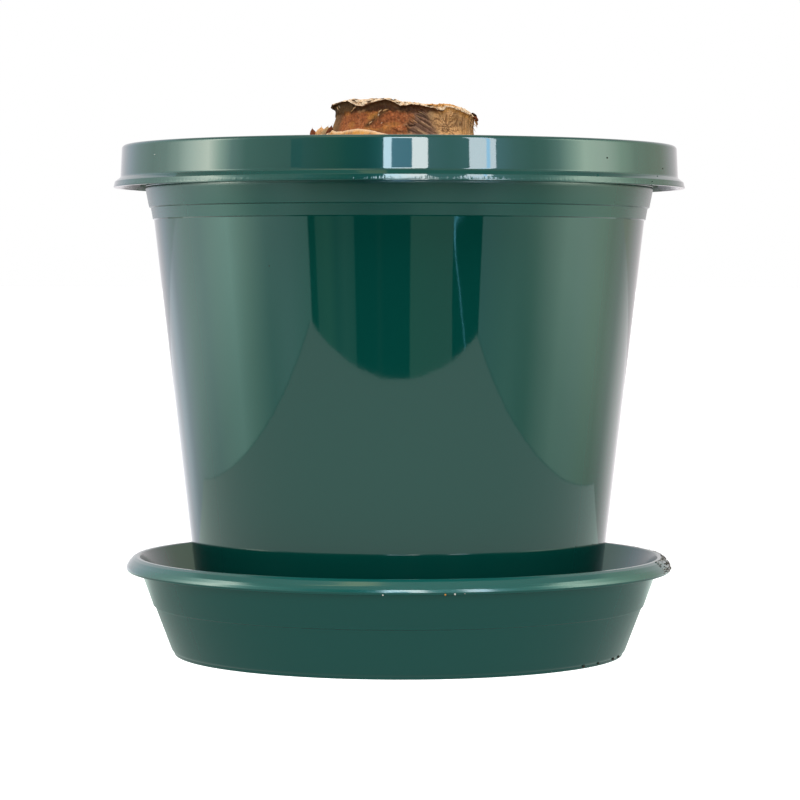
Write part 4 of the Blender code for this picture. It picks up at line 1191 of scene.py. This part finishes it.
# Dirt on the plastic, and painted glints: crumbs on the saucer's rim at its right, down to just above its
# fifth corner, and single specks as (angle, radius, height, size, colour). The white specks on the saucer's
# nose are painted glints.
CRUMB_COUNT = 420
CRUMB_SEED = 17
CRUMB_REACH = 3.999
CRUMB_LIGHT_SHARE = 0.6
CRUMB_FROM, CRUMB_TO = -18, 24
CRUMB_SIZES = (0.14, 0.45)
CRUMB_DARK, CRUMB_LIGHT, WHITE_DUST_AND_GLINT = (0.045, 0.036, 0.03), (0.34, 0.32, 0.3), (0.8, 0.78, 0.72)
SPECKS = (
    (212.8, 75.0, 133.3, 0.3, WHITE_DUST_AND_GLINT), (314.7, 75.05, 132.2, 0.4, CRUMB_DARK),
    (336.4, 75.1, 130.3, 0.35, CRUMB_DARK), (328, 76.9, 126.6, 0.35, CRUMB_DARK),
    # The white specks on the saucer's nose here are painted glints
    (239.5, 64.8, 104.6, 0.3, CRUMB_DARK), (267, 73.75, 22.8, 0.4, WHITE_DUST_AND_GLINT),
    (279.1, 73.75, 22.8, 0.45, OCHRE), (281, 73.75, 22.9, 0.45, WHITE_DUST_AND_GLINT),
    (322, 61.1, 0.7, 0.8, CRUMB_DARK), (329, 61.1, 0.7, 0.7, CRUMB_DARK), (335, 61.0, 0.9, 0.5, CRUMB_LIGHT),
    (338, 61.2, 0.9, 0.8, CRUMB_DARK), (343, 61.2, 0.9, 0.8, CRUMB_DARK),
    (283, 73.7, 23.0, 0.25, CRUMB_LIGHT),
)


def make_dirt_and_glints(material):
    """Small crumbs that stick to the saucer and the pot, and white specks on the saucer's nose that are
    painted glints.
    """
    draw = random.Random(CRUMB_SEED)
    crumbs = list(SPECKS)
    for _ in range(CRUMB_COUNT):
        along = draw.uniform(0, CRUMB_REACH)
        (r0, z0, _), (r1, z1, _) = SAUCER_RIM[int(along)], SAUCER_RIM[int(along) + 1]
        share = along % 1
        colour = CRUMB_LIGHT if draw.random() < CRUMB_LIGHT_SHARE else CRUMB_DARK
        size = draw.uniform(*CRUMB_SIZES)
        angle = draw.uniform(CRUMB_FROM, CRUMB_TO)
        crumbs.append((angle, r0 + (r1 - r0) * share, z0 + (z1 - z0) * share, size, colour))
    ball, faces = small_ball()
    pieces = []
    tints = []
    for k, (angle, r, z, size, colour) in enumerate(crumbs):
        turn = math.radians(angle)
        made = lump(ball, k, 0.3, 131, size / 2, draw)
        pieces.append((made + (r * math.cos(turn), r * math.sin(turn), z)) * MM)
        tints.append(painted(colour, (len(ball),)))
    points, faces = joined(pieces, faces)
    return grown("dirt_and_glints_fine", points, np.concatenate(tints), material, "soil", faces)


# What reflections see: a round room in two rings, lower and upper, with cards in front of it. Azimuth
# counts from the camera's side, positive to the right. Radiance is a share of the white background's.
CARD_RADIUS = 1.6
CARD_STEP = 2.0
RING_SPLIT = 0.0
UPPER_RING_TOP = 1.3
CEILING_TINT = (0.8, 0.78, 0.72)
DARK = (0.0, 0.005, 0.008)
CURTAIN = (0.33, 0.6, 0.42)
LOWER_ROOM = (
    (-180, 1.2, 1.15, 1.2), (-150, 1.15, 1.2, 1.3), (-142, 1.2, 1.35, 1.5), (-134, 1.1, 1.25, 1.38),
    (-118, 1.3, 1.7, 1.6), (-106, 1.55, 2.1, 2.0), (-98, 1.95, 2.8, 2.5), (-86, 2.5, 3.85, 3.35),
    (-76, 1.95, 2.95, 2.5), (-64, 1.2, 1.85, 1.7), (-54, 0.98, 1.5, 1.42), (-42.4, 0.75, 1.25, 1.12),
    (-41.6, 0.02, 0.06, 0.03), (-38.9, 0.03, 0.1, 0.05), (-38.2, 0.24, 0.5, 0.36), (-33, 0.28, 0.6, 0.4),
    (-29, 0.18, 0.36, 0.3), (-25, 0.26, 0.52, 0.42), (-20.8, 0.2, 0.4, 0.32), (-20.1, *DARK), (-11, *DARK),
    (-9, 0.04, 0.06, 0.05), (-7, *DARK), (4.8, *DARK), (5.6, *CURTAIN), (37.9, 0.36, 0.52, 0.42),
    (38.7, 0.62, 1.0, 1.0), (50, 0.7, 1.15, 1.0), (60, 0.84, 1.36, 1.14), (66, 1.05, 1.65, 1.32),
    (74, 1.6, 2.3, 1.9), (84, 2.05, 2.95, 2.42), (96, 1.77, 2.5, 2.08), (108, 1.34, 1.86, 1.44),
    (118, 0.95, 1.2, 0.94), (130, 0.82, 0.92, 0.84), (142, 1.08, 1.1, 1.08), (160, 1.17, 1.13, 1.16),
    (180, 1.2, 1.15, 1.2),
)
UPPER_ROOM = (
    (-180, 0.9, 0.86, 0.88), (-155, 1.03, 1.03, 1.1), (-142, 1.02, 1.16, 1.3), (-130, 1.04, 1.28, 1.28),
    (-118, 1.2, 1.5, 1.38), (-108, 1.75, 2.2, 2.0), (-100, 3.0, 3.7, 3.3), (-92, 5.7, 6.7, 5.9),
    (-82, 9.2, 10.1, 8.7), (-76, 4.9, 6.2, 5.3), (-70, 2.2, 3.0, 2.8), (-63, 1.2, 1.75, 1.56),
    (-51, 0.95, 1.3, 1.18), (-44, 0.85, 1.15, 1.06), (-40.6, 0.78, 1.1, 1.04), (-39.4, 0.55, 0.85, 0.9),
    (-33, 0.48, 0.62, 0.62), (-26, 0.35, 0.5, 0.4), (-20, 0.19, 0.28, 0.31), (-13, 0.17, 0.2, 0.36),
    (-8.5, 0.25, 0.55, 0.8), (-6.2, 0.5, 1.1, 1.5), (12, 1.0, 1.6, 1.9), (20, 0.84, 1.38, 1.5),
    (40, 1.3, 2.1, 2.5), (46, 1.06, 1.6, 1.65), (54, 0.9, 1.32, 1.18), (60, 1.1, 1.6, 1.4),
    (66, 1.9, 2.7, 2.4), (72, 3.7, 5.0, 4.15), (79, 6.0, 7.5, 6.1), (90, 4.8, 5.8, 4.8),
    (100, 2.6, 3.4, 2.65), (110, 1.5, 1.85, 1.45), (120, 1.12, 1.3, 1.0), (132, 0.87, 0.95, 0.76),
    (145, 0.95, 0.94, 0.93), (160, 0.98, 0.93, 0.95), (180, 0.9, 0.86, 0.88),
)
# Share of the lower room's radiance that is left at a height, at the sides where it is brightest
LOWER_FALL = ((-1.5, 0.6), (-0.3, 0.61), (-0.24, 0.7), (-0.19, 0.86), (-0.15, 1.0), (-0.1, 1.1), (0.0, 1.1))
FALL_FROM, FALL_TO = 52, 66
# Cards nearer than the room: name, nearer by, bottom, top and stops of (azimuth, red, green, blue)
WHITE_PANE = (15.5, 16.6, 17.0)
BLUE_PANE = (12.0, 16.0, 18.5)
GREY_PANE = (11.5, 13.2, 14.5)
BLUE_FRAME = (6.5, 11.5, 16.5)
CARDS = (
    ("window_left", 0.04, 0.1, 1.3, (
        (-6.2, *BLUE_PANE), (-3.0, *BLUE_PANE), (5.0, *WHITE_PANE), (11.1, *WHITE_PANE),
    )),
    ("window_right", 0.04, 0.1, 1.3, (
        (27.4, *GREY_PANE), (34.2, *GREY_PANE), (34.6, *BLUE_FRAME), (35.7, *BLUE_FRAME),
        (36.1, *GREY_PANE), (38.3, *GREY_PANE),
    )),
    ("shutter", 0.06, 0.27, 0.331, ((-43.1, 0.42, 0.72, 0.8), (-38.4, 0.42, 0.72, 0.8))),
    ("stand", 0.08, 0.05, 0.5, ((-3.0, 1.5, 2.9, 4.3), (5.0, 1.3, 2.6, 3.9))),
)
# Dark opening below the right window: its left edge as (azimuth, height), its right edge, and the thin
# blue frame along the left edge
OPENING_EDGE = (
    (31.0, -0.12), (29.5, -0.178), (27.0, -0.183), (25.2, -0.192), (24.7, -0.21), (25.0, -0.26),
    (26.2, -0.32), (28.0, -0.38), (30.2, -0.44), (32.0, -0.5),
)
OPENING_END = 38.2
OPENING_RADIUS = CARD_RADIUS - 0.03
FRAME_RADIUS = CARD_RADIUS - 0.05
FRAME_SPAN = slice(1, 7)
FRAME_WIDTH = 0.8
FRAME_DROP = 0.004
FRAME_BLUE = (0.8, 2.8, 4.0)
FRAME_SLANT = 85.0
FRAME_BEND = -0.2
# The white table top that the plant stands on, the dark line round it, the room's floor and a lamp patch
TABLE_CORNERS = ((-0.295, -0.346), (0.248, -0.346), (0.285, 0.16), (-0.292, 0.16))
TABLE_LINE = 0.006
TABLE_OUTLINE = [(x + math.copysign(TABLE_LINE, x), y) for x, y in TABLE_CORNERS]
ROOM_CORNERS = ((-1.65, -1.65), (1.65, -1.65), (1.65, 1.65), (-1.65, 1.65))
LAMP_CORNERS = ((-1.5, -1.0), (-0.5, -1.0), (-0.08, -0.4), (-0.45, -0.4))
# Level planes: name, corners, height, radiance, the share of it near the middle, from where and to where
# it changes to the full radiance. The table also lights matt surfaces. The table's darker middle is a
# painted shadow round the saucer.
LEVELS = (
    ("table", TABLE_CORNERS, 0.0, (1.03, 1.22, 1.14), 0.45, 0.09, 0.165, True),
    ("table_line", TABLE_OUTLINE, -MM, (0.35, 0.55, 0.5), 1.0, 0.09, 0.165),
    ("room_floor", ROOM_CORNERS, -0.45, (0.26, 0.3, 0.26), 1.9, 1.38, 1.62),
    ("lamp", LAMP_CORNERS, 2.0, (3.0, 2.7, 1.5), 1.0, 0.0, 1.0),
)


def glow(name):
    """A material that only gives off light, in the mesh's own colours."""
    n = Nodes(bpy.data.materials.new(name), clear=True)
    colours = n.add("ShaderNodeVertexColor", output="Color", layer_name="radiance")
    n.add("ShaderNodeOutputMaterial", {"Surface": n.add("ShaderNodeEmission", {"Color": colours})})
    return n.owner


def only_reflected(obj, lights=False):
    """Keeps a card or the table out of everything but reflections, or lets it light matt surfaces too."""
    for kind in ("camera", "shadow", "transmission", "volume_scatter"):
        setattr(obj, "visible_" + kind, False)
    obj.visible_diffuse = lights
    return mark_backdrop(obj)


def make_sheet(name, columns, radius):
    """An upright glowing sheet round the pot. Each column is a list of (azimuth, height, colour)."""
    points = []
    radiance = []
    for azimuth, z, colour in (stop for stops in columns for stop in stops):
        turn = math.radians(azimuth)
        points.append((radius * math.sin(turn), -radius * math.cos(turn), z))
        radiance += [*colour, 1]
    mesh = bpy.data.meshes.new(name)
    mesh.from_pydata(points, [], grid_faces(len(columns), len(columns[0]), wrap=False))
    mesh.color_attributes.new("radiance", "FLOAT_COLOR", "POINT").data.foreach_set("color", radiance)
    mesh.materials.append(glow(name))
    return only_reflected(add_object(name, mesh))


def make_arc(name, stops, levels, radius):
    """A sheet whose radiance goes evenly from stop to stop of (azimuth, red, green, blue), and at the
    sides falls by the share of each level of (height, share)."""
    table = np.array(stops)
    places = table[:, 0]
    azimuths = [places[0]]
    for a, b in zip(places, places[1:]):
        count = max(1, math.ceil((b - a) / CARD_STEP))
        azimuths += [a + (b - a) * k / count for k in range(1, count + 1)]
    columns = []
    for azimuth in azimuths:
        colour = np.array([np.interp(azimuth, places, table[:, k]) for k in (1, 2, 3)])
        side = smooth(FALL_FROM, FALL_TO, abs(azimuth))
        columns.append([(azimuth, z, colour * (1 - side + side * share)) for z, share in levels])
    return make_sheet(name, columns, radius)


def make_opening():
    """The dark opening and the blue frame along its slanting left edge."""
    dark = [[(azimuth, z, DARK), (OPENING_END, z, DARK)] for azimuth, z in OPENING_EDGE]
    make_sheet("opening", dark, OPENING_RADIUS)
    frame_line = []
    for azimuth, z in OPENING_EDGE[FRAME_SPAN]:
        middle = azimuth + FRAME_SLANT * max(0.0, FRAME_BEND - z)
        ends = ((middle - FRAME_WIDTH / 2, z), (middle + FRAME_WIDTH / 2, z - FRAME_DROP))
        frame_line.append([(*end, FRAME_BLUE) for end in ends])
    make_sheet("opening_frame", frame_line, FRAME_RADIUS)


def make_level(name, corners, height, colour, shade, shade_from, shade_to, lights=False):
    """A level glowing plane that has the shade's share of its colour near the middle."""
    mesh = bpy.data.meshes.new(name)
    mesh.from_pydata([(x, y, height) for x, y in corners], [], [(0, 1, 2, 3)])
    n = Nodes(bpy.data.materials.new(name))
    mesh.materials.append(n.finish(
        Base_Color=(0.0, 0.0, 0.0), Specular_IOR_Level=0.0, Emission_Color=colour,
        Emission_Strength=n.ramp(n.far(), shade_from, shade_to, shade, 1.0),
    ))
    return only_reflected(add_object(name, mesh), lights)


def make_reflected_room():
    """Everything that the glossy plastic mirrors."""
    make_arc("room_lower", LOWER_ROOM, LOWER_FALL, CARD_RADIUS)
    make_arc("room_upper", UPPER_ROOM, ((RING_SPLIT, 1.0), (UPPER_RING_TOP, 1.0)), CARD_RADIUS)
    for name, nearer, bottom, top, stops in CARDS:
        make_arc(name, stops, ((bottom, 1.0), (top, 1.0)), CARD_RADIUS - nearer)
    make_opening()
    for level in LEVELS:
        make_level(*level)


# Floor and lights
FLOOR_SIZE = 60.0
FLOOR_WHITE = (0.75, 0.75, 0.75)
FLOOR_GLOW = 0.25
POOL_STRENGTH = 0.9
POOL_FROM, POOL_TO = 0.17, 0.3
FILL_STRENGTH = 0.06
# Lights that reflections don't see: name, strength, spread, elevation and azimuth from the camera's side,
# positive to the right, in degrees
LIGHTS = (
    ("overhead", 3.8, 56, 76, 0),
    ("front", 1.3, 40, 10, 2),
    ("left", 0.5, 50, 12, -82),
    ("right", 0.4, 50, 12, 80),
)


def make_floor():
    """The pale floor under the saucer, with a pool of light round it that keeps the shadow soft."""
    bpy.ops.mesh.primitive_plane_add(size=FLOOR_SIZE)
    floor = bpy.context.object
    floor.name = "floor"
    n = Nodes(bpy.data.materials.new("floor"))
    floor.data.materials.append(n.finish(
        Base_Color=FLOOR_WHITE, Roughness=0.9, Specular_IOR_Level=0.0, Emission_Color=(1.0, 1.0, 1.0),
        Emission_Strength=n.ramp(n.far(), POOL_FROM, POOL_TO, POOL_STRENGTH, FLOOR_GLOW),
    ))
    floor.visible_glossy = False
    floor.visible_diffuse = False
    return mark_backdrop(floor)


def make_lights():
    """Wide soft lights from above, the front and both sides."""
    for name, strength, spread, elevation, azimuth in LIGHTS:
        data = bpy.data.lights.new(name, "SUN")
        data.energy = strength
        data.angle = math.radians(spread)
        light = add_object(name, data)
        light.rotation_euler = (math.radians(90 - elevation), 0, math.radians(azimuth))
        light.visible_glossy = False


def make_world():
    """White for the camera, a dim ceiling for reflections and soft even light for the rest."""
    world = bpy.data.worlds.new("studio")
    bpy.context.scene.world = world
    n = Nodes(world, clear=True)
    white, ceiling, fill = (
        n.add("ShaderNodeBackground", {"Color": colour, "Strength": strength})
        for colour, strength in (((1, 1, 1), 1.0), (CEILING_TINT, 1.0), ((1, 1, 1), FILL_STRENGTH))
    )
    path = n.add("ShaderNodeLightPath").node.outputs
    unseen = n.add("ShaderNodeMixShader", {0: path["Is Glossy Ray"], 1: fill, 2: ceiling})
    seen = n.add("ShaderNodeMixShader", {0: path["Is Camera Ray"], 1: unseen, 2: white})
    n.add("ShaderNodeOutputWorld", {"Surface": seen})


def make_camera():
    data = bpy.data.cameras.new("camera")
    data.lens = CAMERA_LENS
    data.sensor_width = SENSOR_WIDTH
    camera = add_object("camera", data)
    camera.location = CAMERA_PLACE
    upright = Matrix.Rotation(math.radians(90) + CAMERA_PITCH, 4, "X")
    camera.rotation_euler = (upright @ Matrix.Rotation(CAMERA_ROLL, 4, "Z")).to_euler()
    bpy.context.scene.camera = camera


def main():
    bpy.context.scene.view_settings.view_transform = "Standard"
    make_camera()
    make_world()
    make_floor()
    make_lights()
    make_reflected_room()
    make_saucer(plastic("saucer_plastic", SAUCER_GREEN_WITH_PAINTED_LIGHT, SAUCER_ROUGHNESS))
    make_pot(plastic("pot_plastic", POT_GREEN, POT_ROUGHNESS, True))
    bulb_skin = skin("bulb_skin")
    for make in (make_neck, make_wisps, make_scales, make_body, make_roots):
        make(bulb_skin)
    make_tunic(skin("dry_tunic", 0.6, 0.2))
    soil = skin("potting_soil", 0.95, 0.5)
    make_soil(soil)
    for row in LUMPS:
        make_lumps(*row, soil)
    make_dirt_and_glints(soil)


main()
